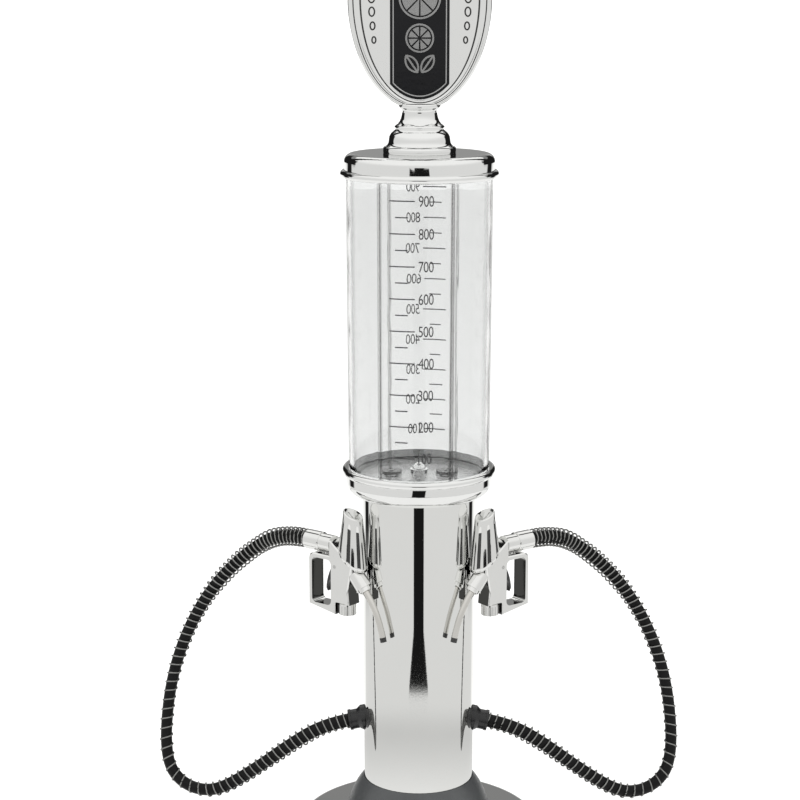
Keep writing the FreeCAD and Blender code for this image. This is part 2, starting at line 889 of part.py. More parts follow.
def trigger_swing():
    """How far towards the spout the trigger's back reaches when it is squeezed."""
    turn = math.radians(trigger_travel)
    arm = plunger_drop + trigger_toe
    reach = trigger_face * math.cos(turn) + arm * math.sin(turn)
    return trigger_pivot[0] + max(reach, trigger_neck)


def make_trigger():
    """The trigger, its pin, and the valve plunger that it pushes."""
    u, z = trigger_pivot
    tip = window_right - trigger_reach
    trigger = slab([
        (u + trigger_neck - 0.4, z + 1.0),
        (u + 1.0, z + trigger_neck - 0.4),
        (u - trigger_neck + 0.6, z + trigger_neck - 0.6),
        ((tip + 2.6, z - 5.0), (tip, trigger_bottom + 2.0)),
        (tip + 1.2, trigger_bottom),
        ((tip + 4.8, z - 9.0), (u - 0.6, plunger_height + 2.2)),
        (u + 0.2, plunger_height - trigger_toe),
        (u + trigger_face, plunger_height - trigger_toe + 0.6),
        (u + trigger_face, z - 2.0),
    ], trigger_depth)
    hole = Part.makeCylinder(
        trigger_pin_radius + running_gap, trigger_depth, Vector(u, -trigger_depth / 2, z), Vector(0, 1, 0)
    )
    save_gun("trigger", trigger.cut(hole))
    pin = Part.makeCylinder(
        trigger_pin_radius, gun_depth, Vector(u, -gun_depth / 2, z), Vector(0, 1, 0)
    )
    save_gun("trigger_pin", pin)
    plunger = turned([
        (0, 0),
        (plunger_nose_radius, 0),
        (plunger_radius, plunger_nose),
        (plunger_radius, plunger_length),
        (0, plunger_length),
    ])
    start = Vector(u + trigger_face + seat_gap / 2, 0, plunger_height)
    save_gun("plunger", along(plunger, start, Vector(1, 0, 0)))


def make_sign():
    """The oval sign: a raised rim, sunk fields, dark windows, line emblems and oval rings."""
    centre = Vector(0, 0, sign_centre)
    plate = oval_plate(sign_half_width, sign_half_height, sign_depth)
    plate = plate.makeFillet(rim_rise, ring_edges(plate))
    sunk = oval_plate(sign_half_width - rim_width, sign_half_height - rim_width, rim_rise)
    recess = window_plate(0, window_depth)
    rings = []
    windows = []
    emblems = []
    for side in (-1, 1):
        field = sunk.copy()
        field.translate(Vector(0, side * (rim_face - rim_rise / 2), 0))
        plate = plate.cut(field)
        pocket = recess.copy()
        pocket.translate(Vector(0, side * (field_face - window_depth / 2), 0))
        plate = plate.cut(pocket)
        window = window_plate(fit_gap, window_depth)
        window.translate(Vector(0, side * (field_face - window_depth / 2), 0))
        windows.append(window)
        emblem = emblem_lines()
        emblem.translate(Vector(0, side * (field_face + emblem_rise / 2), 0))
        emblems.append(emblem)
        for ring in ring_row():
            ring.translate(Vector(0, side * (field_face + ring_line / 2), 0))
            rings.append(ring)
    pin = Part.makeCylinder(pin_radius, pin_drop() * 2, Vector(0, 0, -sign_half_height - pin_drop()))
    plate = plate.cut(pin)
    for shape in [plate, pin] + windows + emblems + rings:
        shape.translate(centre)
    save("sign_body", plate)
    save("sign_window_front", windows[0])
    save("sign_window_back", windows[1])
    save("sign_emblem_front", emblems[0])
    save("sign_emblem_back", emblems[1])
    save("sign_rings", Part.makeCompound(rings))
    save("sign_pin", pin)
    return pin


def pin_drop():
    """How far the pin goes into the pedestal below the sign, and into the sign above."""
    return sign_sunk + 6.0


def ring_edges(plate):
    """The two outer edges of an oval plate."""
    return [edge for edge in plate.Edges if edge.Length > 2 * sign_half_height and edge.isClosed()]


def oval_plate(half_width, half_height, thickness):
    """An oval plate whose middle is on the plane y = 0."""
    oval = Part.Ellipse(Vector(0, 0, half_height), Vector(half_width, 0, 0), Vector(0, 0, 0))
    plate = Part.Face(Part.Wire(oval.toShape())).extrude(Vector(0, thickness, 0))
    plate.translate(Vector(0, -thickness / 2, 0))
    return plate


def window_plate(gap, thickness):
    """The tall window: straight sides with round ends."""
    half = window_half_width - gap
    straight = window_half_height - window_round
    end = window_half_height - gap
    side = math.sqrt(0.5)
    low = -straight - (end - straight) * side
    high = straight + (end - straight) * side
    return slab([
        (-half, -straight),
        (-half, straight),
        ((-half * side, high), (0, end)),
        ((half * side, high), (half, straight)),
        (half, -straight),
        ((half * side, low), (0, -end)),
        ((-half * side, low), (-half, -straight)),
    ], thickness)


def emblem_lines():
    """Fruit wheels and leaves drawn in raised lines, joined where they touch."""
    lines = []
    for radius, height in zip(wheel_radii, wheel_heights):
        lines += wheel(radius, height)
    for upward in (-1, 1):
        for side in (-1, 1):
            lines.append(leaf(side, upward))
    return Part.makeCompound(lines)


def wheel(radius, height):
    """A cut fruit wheel: an outer ring and its separate cells."""
    ring = Part.makeCylinder(radius, emblem_rise, Vector(0, -emblem_rise / 2, 0), Vector(0, 1, 0))
    hole = Part.makeCylinder(
        radius - line_width, emblem_rise, Vector(0, -emblem_rise / 2, 0), Vector(0, 1, 0)
    )
    parts = [ring.cut(hole)]
    outer = radius - 1.8 * line_width
    half = math.pi / wheel_cells
    inset = 0.35 * line_width / math.sin(half)
    for k in range(wheel_cells):
        way = 2 * math.pi * (k + 0.5) / wheel_cells
        tip = (inset * math.sin(way), inset * math.cos(way))
        edge = half - 0.45 * line_width / outer
        left = (outer * math.sin(way - edge), outer * math.cos(way - edge))
        crown = (outer * math.sin(way), outer * math.cos(way))
        right = (outer * math.sin(way + edge), outer * math.cos(way + edge))
        parts.append(slab([tip, left, (crown, right)], emblem_rise))
    for part in parts:
        part.translate(Vector(0, 0, height))
    return parts


def leaf(side, upward):
    """A leaf outline with a mid line, leaning outwards."""
    half = leaf_length / 2
    blade = slab([
        (-half, 0),
        ((0, leaf_half_width), (half, 0)),
        ((0, -leaf_half_width), (-half, 0)),
    ], emblem_rise)
    small = half - 1.6 * line_width
    thin = leaf_half_width - line_width
    upper = slab([(-small, line_width / 2), ((0, thin), (small, line_width / 2))], emblem_rise * 2)
    lower = slab([(-small, -line_width / 2), ((0, -thin), (small, -line_width / 2))], emblem_rise * 2)
    blade = blade.cut(upper).cut(lower)
    blade.rotate(Vector(0, 0, 0), Vector(0, 1, 0), side * upward * leaf_angle)
    blade.translate(Vector(side * leaf_length * 0.36, 0, upward * leaf_height))
    return blade


def ring_row():
    """Upright oval rings down both sides of the field, smaller towards the ends."""
    rings = []
    for k in range(-rings_each_way, rings_each_way + 1):
        share = 1 - ring_shrink * abs(k)
        height = k * ring_pitch
        field = (sign_half_width - rim_width) * math.sqrt(1 - (height / sign_half_height) ** 2)
        middle = (field + window_half_width) / 2
        for side in (-1, 1):
            ring = oval_plate(ring_width * share / 2, ring_tall * share / 2, ring_line)
            hole = oval_plate(
                ring_width * share / 2 - ring_line, ring_tall * share / 2 - ring_line, 2 * ring_line
            )
            ring = ring.cut(hole)
            ring.translate(Vector(side * middle, 0, height))
            rings.append(ring)
    return rings


def make_lid():
    """The chrome lid, its seal, the turned pedestal with a slot for the sign, and the nut."""
    pin = make_sign()
    inner = tank_top_radius + seat_gap
    shoulder = lid_shoulder
    d = shoulder * (1 - math.sqrt(0.5))
    bead_z = lid_bottom + lid_bead
    side = max(lid_side_radius, inner + lid_wall * 0.7)
    cap = turned([
        (stud_radius + fit_gap, lid_ceiling),
        (inner - lid_corner, lid_ceiling),
        (inner, lid_ceiling - lid_corner),
        (inner, lid_bottom),
        (side, lid_bottom),
        ((side + lid_bead, bead_z), (side, lid_bottom + 2 * lid_bead)),
        (side, lid_top - shoulder),
        ((side - d, lid_top - d), (side - shoulder, lid_top)),
        (stud_radius + fit_gap, lid_top),
    ])
    save("lid_cap", cap)
    outer = tank_top_radius - seat_gap
    save("lid_seal", tube(outer, outer - 2 * tank_wall, tank_top + seat_gap / 2, lid_ceiling))

    z = lid_top
    foot = pedestal_foot_radius
    step = pedestal_step_radius
    ring = pedestal_ring_radius
    neck = pedestal_neck_radius
    top = pedestal_top_radius
    tall = pedestal_height
    baluster = turned([
        (0, z),
        (foot, z),
        (foot, z + 0.10 * tall),
        ((foot - 1.4, z + 0.17 * tall), (step, z + 0.19 * tall)),
        (step, z + 0.33 * tall),
        ((step - 1.4, z + 0.42 * tall), (ring, z + 0.49 * tall)),
        (ring, z + 0.56 * tall),
        ((neck + 1.2, z + 0.63 * tall), (neck, z + 0.77 * tall)),
        ((neck + 0.5, z + 0.86 * tall), (top, z + 0.92 * tall)),
        (top, z + tall - 0.8),
        (top - 0.8, z + tall),
        (0, z + tall),
    ])
    stud_bottom = lid_ceiling - stud_nut_height - 1.5
    baluster = baluster.fuse(rod(stud_radius, stud_bottom, lid_top))
    room = oval_plate(sign_half_width + fit_gap, sign_half_height + fit_gap, sign_depth + 2 * fit_gap)
    room.translate(Vector(0, 0, sign_centre))
    save("pedestal", baluster.cut(room).cut(pin))
    nut_bottom = lid_ceiling - stud_nut_height
    nut = prism(stud_nut_radius, 6, nut_bottom, lid_ceiling)
    save("pedestal_nut", nut.cut(rod(stud_radius, nut_bottom, lid_ceiling)))


def hanger_placement():
    """Where the left gun's hanger stands: local X points outwards from the column's axis."""
    back = gun_point(hanger_u, 0, gun_depth / 2)
    outward = Vector(back.x, back.y, 0).normalize()
    sideways = Vector(0, 0, 1).cross(outward)
    turn = Rotation(outward, sideways, Vector(0, 0, 1), "XYZ")
    return Placement(Vector(0, 0, hanger_height), turn)


def radial_rod(radius, near, far, height=0.0):
    """A rod that points outwards from the column in the hanger's own frame."""
    return Part.makeCylinder(radius, far - near, Vector(near, 0, height), Vector(1, 0, 0))


def hanger_screws(extra=0.0):
    """The two round-headed screws of the left hanger, or the holes for them."""
    wall = column_radius(hanger_height)
    tip = wall - column_wall - 1.0
    seat = wall + hanger_wall + seat_gap
    screws = []
    for side in (-1, 1):
        height = side * hanger_screw_offset
        screw = radial_rod(hanger_screw_radius + extra, tip, seat, height)
        screw = screw.fuse(radial_rod(hanger_screw_head, seat, seat + hanger_screw_rise, height))
        screw.Placement = hanger_placement()
        screws.append(screw)
    return screws


def make_hangers():
    """A saddle on the column with a headed button for the gun's plate."""
    wall = column_radius(hanger_height)
    outside = wall + hanger_wall
    depth = hanger_width / 2
    block = Part.makeBox(
        depth, hanger_width, hanger_tall, Vector(outside - depth, -hanger_width / 2, -hanger_tall / 2)
    )
    shaft_end = hang_plate_near() + hang_plate_wall + seat_gap
    button = radial_rod(button_shaft_radius, wall, shaft_end)
    button = button.fuse(radial_rod(button_head_radius, shaft_end, shaft_end + button_head_length))
    block.Placement = hanger_placement()
    button.Placement = hanger_placement()
    saddle = block.common(column_cone(-hanger_wall)).fuse(button).cut(column_cone(0))
    for hole in hanger_screws(fit_gap):
        saddle = saddle.cut(hole)
    save("hanger_left", saddle)
    save("hanger_right", mirrored(saddle))
    screws = hanger_screws()
    save("hanger_screws", Part.makeCompound(screws + [mirrored(screw) for screw in screws]))


def hang_plate_near():
    """Distance from the column's axis to the near face of the gun's hang plate."""
    return column_radius(hanger_height) + hanger_wall + hanger_screw_rise + 2 * seat_gap


def make_hang_plates():
    """The gun's own plate, whose open slot drops over the button from above."""
    half = hang_plate_half_width
    near = hang_plate_near()
    slot = button_shaft_radius + seat_gap
    low = -slot - seat_gap
    high = button_head_radius + 3 * seat_gap + bridge_tall
    plate = Part.makeBox(hang_plate_wall, 2 * half, high - low, Vector(near, -half, low))
    plate = plate.cut(Part.makeBox(hang_plate_wall, 2 * slot, -low, Vector(near, -slot, low)))
    plate = plate.cut(radial_rod(slot, near, near + hang_plate_wall))
    bridge = Part.makeBox(
        2 * gun_depth, 2 * bridge_half_width, bridge_tall,
        Vector(near + hang_plate_wall, -bridge_half_width, high - bridge_tall),
    )
    plate = plate.fuse(bridge)
    plate.Placement = hanger_placement()
    size = 4 * gun_depth
    gun_side = Part.makeBox(
        2 * size, size, size, Vector(-size, gun_depth / 2 - size, hanger_height - size / 2)
    )
    gun_side.Placement = gun_placement
    plate = plate.cut(gun_side)
    save("gun_left_hang_plate", plate)
    save("gun_right_hang_plate", mirrored(plate))


make_dome()
ballast_underside = make_foot()
make_column(ballast_underside)
make_cup()
make_tank()
make_outlets()
make_glands()
make_hoses()
make_gun()
make_lid()
make_hangers()
make_hang_plates()
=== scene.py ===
# %% [markdown]
# # A drinks dispenser with two hose guns
# The real thing is shaped like an old filling-station pump: a chrome column, a clear tank,
# an oval sign on the lid, and two small chrome guns on black hoses. Nearly everything is
# polished metal, so most of the work in Blender is about what the metal reflects. The solids
# come ready made from the CAD model, and this lesson dresses them piece by piece.

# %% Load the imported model
import math

import bmesh
import bpy
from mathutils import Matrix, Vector


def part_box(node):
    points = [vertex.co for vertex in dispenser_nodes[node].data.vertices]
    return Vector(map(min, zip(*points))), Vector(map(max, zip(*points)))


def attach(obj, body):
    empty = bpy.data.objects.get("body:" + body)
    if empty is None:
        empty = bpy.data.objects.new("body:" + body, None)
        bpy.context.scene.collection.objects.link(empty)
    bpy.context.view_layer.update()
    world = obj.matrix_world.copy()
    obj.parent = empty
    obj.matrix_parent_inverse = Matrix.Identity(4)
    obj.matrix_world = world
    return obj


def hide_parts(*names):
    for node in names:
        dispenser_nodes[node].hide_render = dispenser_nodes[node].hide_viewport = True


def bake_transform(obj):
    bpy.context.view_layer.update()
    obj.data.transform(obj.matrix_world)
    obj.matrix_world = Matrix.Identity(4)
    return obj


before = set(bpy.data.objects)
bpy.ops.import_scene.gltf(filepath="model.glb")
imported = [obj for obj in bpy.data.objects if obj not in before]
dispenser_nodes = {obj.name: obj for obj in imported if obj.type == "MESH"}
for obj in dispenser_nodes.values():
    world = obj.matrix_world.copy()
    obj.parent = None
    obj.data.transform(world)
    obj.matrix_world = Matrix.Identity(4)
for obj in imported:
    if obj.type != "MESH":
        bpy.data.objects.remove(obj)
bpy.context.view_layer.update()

# %% [markdown]
# The photograph was taken from a little above, with a long lens. The spacing of the tank's
# scale on the near wall and on the far wall gives the distance. A camera can be aimed with a
# constraint, but plain numbers for place, tilt and lens are easier to check, so those are used.

# %% Camera
camera_distance = 1.239
camera_height = 0.540
camera_tilt = math.radians(11.7)
camera_turn = math.radians(0.54)
lens_data = bpy.data.cameras.new("photo_camera")
lens_data.sensor_width = 36.0
lens_data.lens = 92.9
lens_data.clip_start = 0.05
lens_data.clip_end = 30.0
photo_camera = bpy.data.objects.new("photo_camera", lens_data)
photo_camera.location = (0.0, -camera_distance, camera_height)
photo_camera.rotation_euler = (math.pi / 2 - camera_tilt, 0.0, camera_turn)
bpy.context.scene.collection.objects.link(photo_camera)
bpy.context.scene.camera = photo_camera
bpy.context.scene.view_settings.view_transform = "Standard"
print("camera at", tuple(photo_camera.location), "lens", lens_data.lens, "mm")

# %% [markdown]
# Each hose leaves its gun, swings out and down in one loop, and comes back to the gland on
# the column. A hose keeps its length and bends evenly, so its line is a NURBS curve with a few
# control points, which never kinks. The curve is drawn once for the left and mirrored.

# %% The line of a hose
hose_corners = (
    (-0.06888, 0.00299, 0.1946), (-0.08543, 0.01592, 0.1946), (-0.1053, 0.025, 0.1824),
    (-0.1291, 0.029, 0.1592), (-0.1468, 0.028, 0.1307), (-0.158, 0.023, 0.0993),
    (-0.1624, 0.016, 0.0661), (-0.1608, 0.010, 0.0436), (-0.1529, 0.007, 0.0322),
    (-0.1397, 0.005, 0.0266), (-0.1253, 0.0035, 0.0286), (-0.1015, 0.0015, 0.0444),
    (-0.079, 0.0004, 0.0615), (-0.05926, 0.0, 0.0732), (-0.04361, 0.0, 0.07652),
)
hose_radius = 0.0042
curve_steps = 24


def hose_line(side):
    """Points along the smooth line of one hose, from its gun to its gland."""
    curve = bpy.data.curves.new("hose_line", "CURVE")
    curve.dimensions = "3D"
    spline = curve.splines.new("NURBS")
    spline.points.add(len(hose_corners) - 1)
    for point, (x, y, z) in zip(spline.points, hose_corners):
        point.co = (-side * x, y, z, 1.0)
    spline.order_u = 3
    spline.use_endpoint_u = True
    spline.resolution_u = curve_steps
    holder = bpy.data.objects.new("hose_line", curve)
    bpy.context.scene.collection.objects.link(holder)
    bpy.context.view_layer.update()
    mesh = bpy.data.meshes.new_from_object(holder)
    line = [vertex.co.copy() for vertex in mesh.vertices]
    bpy.data.objects.remove(holder)
    bpy.data.curves.remove(curve)
    bpy.data.meshes.remove(mesh)
    return line


def line_length(line):
    """The length of a chain of points."""
    return sum((b - a).length for a, b in zip(line, line[1:]))


hose_lines = {"left": hose_line(-1), "right": hose_line(1)}

# %% [markdown]
# A tube along a line can be had from a curve's bevel, but a wire that winds round the tube
# needs the direction at every point, so one helper walks the line and keeps a steady pair of
# side directions. Both the tube and the wire are swept with it.

# %% Walking along a line
full_turn = 2 * math.pi


def frames_along(line, count):
    """Evenly spaced places on a line, each with its direction and two side directions."""
    steps = [0.0]
    for a, b in zip(line, line[1:]):
        steps.append(steps[-1] + (b - a).length)
    total = steps[-1]
    places = []
    index = 0
    side = None
    for number in range(count):
        want = total * number / (count - 1)
        while index < len(line) - 2 and steps[index + 1] < want:
            index += 1
        span = max(steps[index + 1] - steps[index], 1e-9)
        share = min(max((want - steps[index]) / span, 0.0), 1.0)
        before = line[max(index - 1, 0)]
        after = line[min(index + 2, len(line) - 1)]
        near = (line[index + 1] - before).normalized()
        far = (after - line[index]).normalized()
        way = near.lerp(far, share).normalized()
        if side is None:
            side = way.cross(Vector((0.0, 1.0, 0.0))).normalized()
        side = (side - way * side.dot(way)).normalized()
        spot = line[index].lerp(line[index + 1], share)
        places.append((spot, way, side.copy(), way.cross(side)))
    return places


first_way = frames_along(hose_lines["left"], 2)[0][1]
print("the left hose sets off towards", tuple(round(part, 2) for part in first_way))

# %% [markdown]
# Most pieces here are skins over a row of rings: tubes, the lathe-turned pedestal, the oval
# plate. Blender can make such skins with modifiers too, but writing the rings and joining
# their corners in bmesh gives full control of every edge, and all these pieces share it.

# %% Skins over rings


def circle_round(spot, across, over, radius, sides):
    """Points of a circle round a spot, in the plane of two side directions."""
    return [
        spot + across * (radius * math.cos(full_turn * step / sides))
        + over * (radius * math.sin(full_turn * step / sides))
        for step in range(sides)
    ]


def ring_mesh(name, rings, closed_ends=True):
    """A mesh skinned over rings of points, with flat ends."""
    work = bmesh.new()
    rows = [[work.verts.new(point) for point in ring] for ring in rings]
    size = len(rows[0])
    for here, there in zip(rows, rows[1:]):
        for number in range(size):
            after = (number + 1) % size
            work.faces.new((here[number], here[after], there[after], there[number]))
    if closed_ends:
        work.faces.new(reversed(rows[0]))
        work.faces.new(rows[-1])
    bmesh.ops.recalc_face_normals(work, faces=work.faces)
    mesh = bpy.data.meshes.new(name)
    work.to_mesh(mesh)
    work.free()
    for face in mesh.polygons:
        face.use_smooth = len(face.vertices) == 4
    return mesh


def add_piece(name, mesh, body, material):
    """Puts a mesh into the scene as a piece that rides on a body."""
    piece = bpy.data.objects.new(name, mesh)
    bpy.context.scene.collection.objects.link(piece)
    mesh.materials.append(material)
    if body:
        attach(piece, body)
    return piece


sideways, backwards = Vector((1.0, 0.0, 0.0)), Vector((0.0, 1.0, 0.0))
print("a ring of 20 corners:", len(circle_round(Vector(), sideways, backwards, 1.0, 20)))

# %% [markdown]
# Materials come next, because every piece asks for one. Chrome is a metal whose colour is
# nearly white. What makes it look real is a very slight unevenness: faint cloudy patches
# where it was wiped, and a roughness that is never exactly zero.

# %% A kit for node materials


def new_material(name):
    """An empty node material, with its shader and a texture place in the object's own space."""
    material = bpy.data.materials.new(name)
    material.use_nodes = True
    tree = material.node_tree
    shader = tree.nodes["Principled BSDF"]
    place = tree.nodes.new("ShaderNodeTexCoord")
    return material, tree, shader, place.outputs["Object"]


def noise(tree, place, scale, detail=3.0, roughness=0.5):
    """A cloudy pattern; its patches are one metre over the scale in size."""
    node = tree.nodes.new("ShaderNodeTexNoise")
    node.inputs["Scale"].default_value = scale
    node.inputs["Detail"].default_value = detail
    node.inputs["Roughness"].default_value = roughness
    tree.links.new(place, node.inputs["Vector"])
    return node.outputs["Fac"]


def maths(tree, operation, first, second=None):
    """One Math node; each input is a number or another node's output."""
    node = tree.nodes.new("ShaderNodeMath")
    node.operation = operation
    for socket, value in zip(node.inputs, (first, second)):
        if isinstance(value, (int, float)):
            socket.default_value = value
        elif value is not None:
            tree.links.new(value, socket)
    return node.outputs[0]


def spread(tree, value, low, high, out_low, out_high):
    """Maps a value from one range to another."""
    node = tree.nodes.new("ShaderNodeMapRange")
    tree.links.new(value, node.inputs["Value"])
    ends = {"From Min": low, "From Max": high, "To Min": out_low, "To Max": out_high}
    for socket, number in ends.items():
        node.inputs[socket].default_value = number
    return node.outputs["Result"]


def two_colours(tree, value, first, second):
    """A colour that goes from the first to the second as the value goes from 0 to 1."""
    node = tree.nodes.new("ShaderNodeValToRGB")
    node.color_ramp.elements[0].color = (*first, 1.0)
    node.color_ramp.elements[1].color = (*second, 1.0)
    tree.links.new(value, node.inputs["Fac"])
    return node.outputs["Color"]


def bumped(tree, shader, value, strength, distance):
    """Raises the surface by the value."""
    node = tree.nodes.new("ShaderNodeBump")
    node.inputs["Strength"].default_value = strength
    node.inputs["Distance"].default_value = distance
    tree.links.new(value, node.inputs["Height"])
    tree.links.new(node.outputs["Normal"], shader.inputs["Normal"])


fine_detail = 4.0
wiped_patch = 38.0
plating_grain = 900.0
print("wiped patches", round(1000 / wiped_patch), "mm wide, grain", round(1000 / plating_grain, 1), "mm")

# %% [markdown]
# Nearly every piece of the dispenser is plated steel. One plain colour with one gloss looks
# like foil. So two noises work together, a broad one for the patches left by a cloth and a
# fine one for the grain of the plating, and each metal gets its own tones from one recipe.

# %% Chrome and steel
gloss_range = (0.1, 0.45)
plating_depth = 0.0002


def metal(name, dull, bright, smooth, rough, wobble):
    """Polished metal: cloudy wiped patches change its colour and its gloss a little."""
    material, tree, shader, place = new_material(name)
    shader.inputs["Metallic"].default_value = 1.0
    clouds = noise(tree, place, wiped_patch)
    tree.links.new(two_colours(tree, clouds, dull, bright), shader.inputs["Base Color"])
    fine = noise(tree, place, plating_grain, fine_detail)
    both = maths(tree, "MULTIPLY", clouds, fine)
    tree.links.new(spread(tree, both, *gloss_range, smooth, rough), shader.inputs["Roughness"])
    bumped(tree, shader, fine, wobble, plating_depth)
    return material


column_chrome = metal("column_chrome", (0.83, 0.835, 0.82), (0.86, 0.86, 0.85), 0.012, 0.045, 0.005)
lid_chrome = metal("lid_chrome", (0.84, 0.845, 0.84), (0.88, 0.88, 0.875), 0.02, 0.06, 0.008)
gun_chrome = metal("gun_chrome", (0.80, 0.80, 0.79), (0.86, 0.86, 0.85), 0.03, 0.10, 0.02)
plain_steel = metal("plain_steel", (0.52, 0.52, 0.51), (0.62, 0.62, 0.61), 0.18, 0.34, 0.08)
wire_steel = metal("wire_steel", (0.22, 0.22, 0.215), (0.36, 0.36, 0.35), 0.16, 0.30, 0.05)
# Near-black steel that stands for painted shade: the sign's groove, step and rings, the spout's open end
# and bore, and a painted dark reflection in the hood's flutes.
painted_shade_steel = metal("painted_shade_steel", (0.05, 0.05, 0.05), (0.10, 0.10, 0.10), 0.20, 0.34, 0.05)
emblem_steel = metal("emblem_steel", (0.38, 0.38, 0.38), (0.54, 0.54, 0.54), 0.16, 0.30, 0.05)
spout_steel = metal("spout_steel", (0.62, 0.60, 0.57), (0.74, 0.73, 0.70), 0.06, 0.14, 0.02)
print("metals:", sorted(material.name for material in bpy.data.materials if "_" in material.name))

# %% [markdown]
# The column is a plain tube, and its black stripe is the mirror image of a gap between two
# panels. Long thin facets would make that stripe wavy. A finer mesh would help, but on a round
# tube the true direction of the surface is known at every point: straight out from the axis.

# %% The column as a true tube


def round_tube(material):
    """Shades a metal as a true round tube, whatever facets its mesh has."""
    tree = material.node_tree
    place = tree.nodes["Texture Coordinate"].outputs["Object"]
    flat = tree.nodes.new("ShaderNodeVectorMath")
    flat.operation = "MULTIPLY"
    flat.inputs[1].default_value = (1.0, 1.0, 0.0)
    tree.links.new(place, flat.inputs[0])
    outward = tree.nodes.new("ShaderNodeVectorMath")
    outward.operation = "NORMALIZE"
    tree.links.new(flat.outputs[0], outward.inputs[0])
    tree.links.new(outward.outputs[0], tree.nodes["Bump"].inputs["Normal"])


round_tube(column_chrome)
print("nodes of the column's chrome:", len(column_chrome.node_tree.nodes))

# %% [markdown]
# The gun bodies are cast chrome. The rims of a gun's finger window show a dark reflection, and it is
# painted into their colour.
# Faces can be picked out by hand, but a test on which way a face points does it for the whole
# rim at once, so the material asks for the surface's own direction.

# %% Chrome of the gun bodies, with a painted dark reflection on the window rims
gun_turn = math.radians(38)
rim_facing = (0.80, 0.93)
rim_painted_reflection = (0.075, 0.075, 0.073)


def chrome_with_painted_rims(name, towards):
    """Chrome with a painted dark reflection on the faces that point along the gun."""
    material = gun_chrome.copy()
    material.name = name
    tree = material.node_tree
    shader = tree.nodes["Principled BSDF"]
    facing = tree.nodes.new("ShaderNodeNewGeometry")
    along = tree.nodes.new("ShaderNodeVectorMath")
    along.operation = "DOT_PRODUCT"
    along.inputs[1].default_value = towards
    tree.links.new(facing.outputs["Normal"], along.inputs[0])
    amount = spread(tree, along.outputs["Value"], *rim_facing, 0.0, 1.0)
    mix = tree.nodes.new("ShaderNodeMix")
    mix.data_type = "RGBA"
    tree.links.new(amount, mix.inputs["Factor"])
    tree.links.new(shader.inputs["Base Color"].links[0].from_socket, mix.inputs["A"])
    # This dark colour is a painted reflection on the rims.
    mix.inputs["B"].default_value = (*rim_painted_reflection, 1.0)
    tree.links.new(mix.outputs["Result"], shader.inputs["Base Color"])
    return material


gun_bodies = {
    "left": chrome_with_painted_rims("gun_body_left", (math.cos(gun_turn), -math.sin(gun_turn), 0.0)),
    "right": chrome_with_painted_rims("gun_body_right", (-math.cos(gun_turn), -math.sin(gun_turn), 0.0)),
}
print("gun bodies dressed in", [material.name for material in gun_bodies.values()])

# %% [markdown]
# Rubber and plastic differ from metal in how the light leaves them: a dark body colour under a
# thin gloss. Noise in the colour and a fine bump keep the gloss from looking like wet paint.

# %% Rubber, plastic and paint
middle_range = (0.3, 0.7)
cloud_detail = 5.0
skin_bump = 0.35


def dull_stuff(name, dark, light, smooth, rough, grain, depth, patch=60.0, shine=0.5):
    """Rubber, plastic or paint with a fine skin and a little variation of colour."""
    material, tree, shader, place = new_material(name)
    shader.inputs["Specular IOR Level"].default_value = shine
    clouds = noise(tree, place, patch, cloud_detail, 0.6)
    tree.links.new(two_colours(tree, clouds, dark, light), shader.inputs["Base Color"])
    fine = noise(tree, place, grain, fine_detail)
    tree.links.new(spread(tree, fine, *middle_range, smooth, rough), shader.inputs["Roughness"])
    bumped(tree, shader, fine, skin_bump, depth)
    return material


def grey(level):
    """A colour without any tint."""
    return (level, level, level)


hose_rubber = dull_stuff(
    "hose_rubber", grey(0.003), (0.009, 0.009, 0.0095), 0.32, 0.55, 1800.0, 0.00015, shine=0.16)
foot_rubber = dull_stuff("foot_rubber", grey(0.012), grey(0.03), 0.6, 0.8, 1500.0, 0.0002)
gland_plastic = dull_stuff(
    "gland_plastic", (0.006, 0.006, 0.007), (0.016, 0.016, 0.017), 0.18, 0.36, 1400.0, 0.0001)
dome_paint = dull_stuff(
    "dome_paint", (0.055, 0.058, 0.06), (0.10, 0.104, 0.108), 0.3, 0.45, 1100.0, 0.00012)
ballast_iron = dull_stuff("ballast_iron", grey(0.03), (0.08, 0.075, 0.07), 0.6, 0.85, 500.0, 0.0005)
seal_silicone = dull_stuff(
    "seal_silicone", (0.80, 0.80, 0.78), (0.88, 0.88, 0.86), 0.35, 0.5, 900.0, 0.0001)
trigger_black = dull_stuff(
    "trigger_black", (0.012, 0.012, 0.013), (0.035, 0.035, 0.036), 0.22, 0.4, 1300.0, 0.0001)
print_ink = dull_stuff(
    "print_ink", (0.03, 0.03, 0.032), (0.07, 0.07, 0.072), 0.4, 0.6, 2200.0, 0.00002, patch=700.0)
print("rubber, plastic and paint:", [stuff.name for stuff in (hose_rubber, gland_plastic, dome_paint)])

# %% [markdown]
# The tank is clear plastic. Glass in Blender is a full transmission with an index, and a tint
# on it darkens what is seen through each wall. The six upright ribs are thicker, and the fine dark
# lines they show are painted shade: a darker tint on the ribs. Their place is known as an angle round the
# tank, and the tint asks for it.

# %% The clear tank
tank_ribs = 6
first_rib = -33.0
rib_edge = (0.9, 1.5)
degrees = 180 / math.pi


def rib_shade_mask(tree, place):
    """1 on the tank's fine ribs, 0 between them, from the angle round the tank; it places the painted
    shade.
    """
    axes = tree.nodes.new("ShaderNodeSeparateXYZ")
    tree.links.new(place, axes.inputs[0])
    forward = maths(tree, "MULTIPLY", axes.outputs["Y"], -1.0)
    angle = maths(tree, "MULTIPLY", maths(tree, "ARCTAN2", axes.outputs["X"], forward), degrees)
    past_first = maths(tree, "SUBTRACT", angle, first_rib)
    off_rib = maths(tree, "PINGPONG", past_first, 180.0 / tank_ribs)
    return spread(tree, off_rib, *rib_edge, 1.0, 0.0)


mould_wave = 22.0
wave_bump = (0.03, 0.0006)
haze_range = (0.2, 0.8)
haziest = 0.02


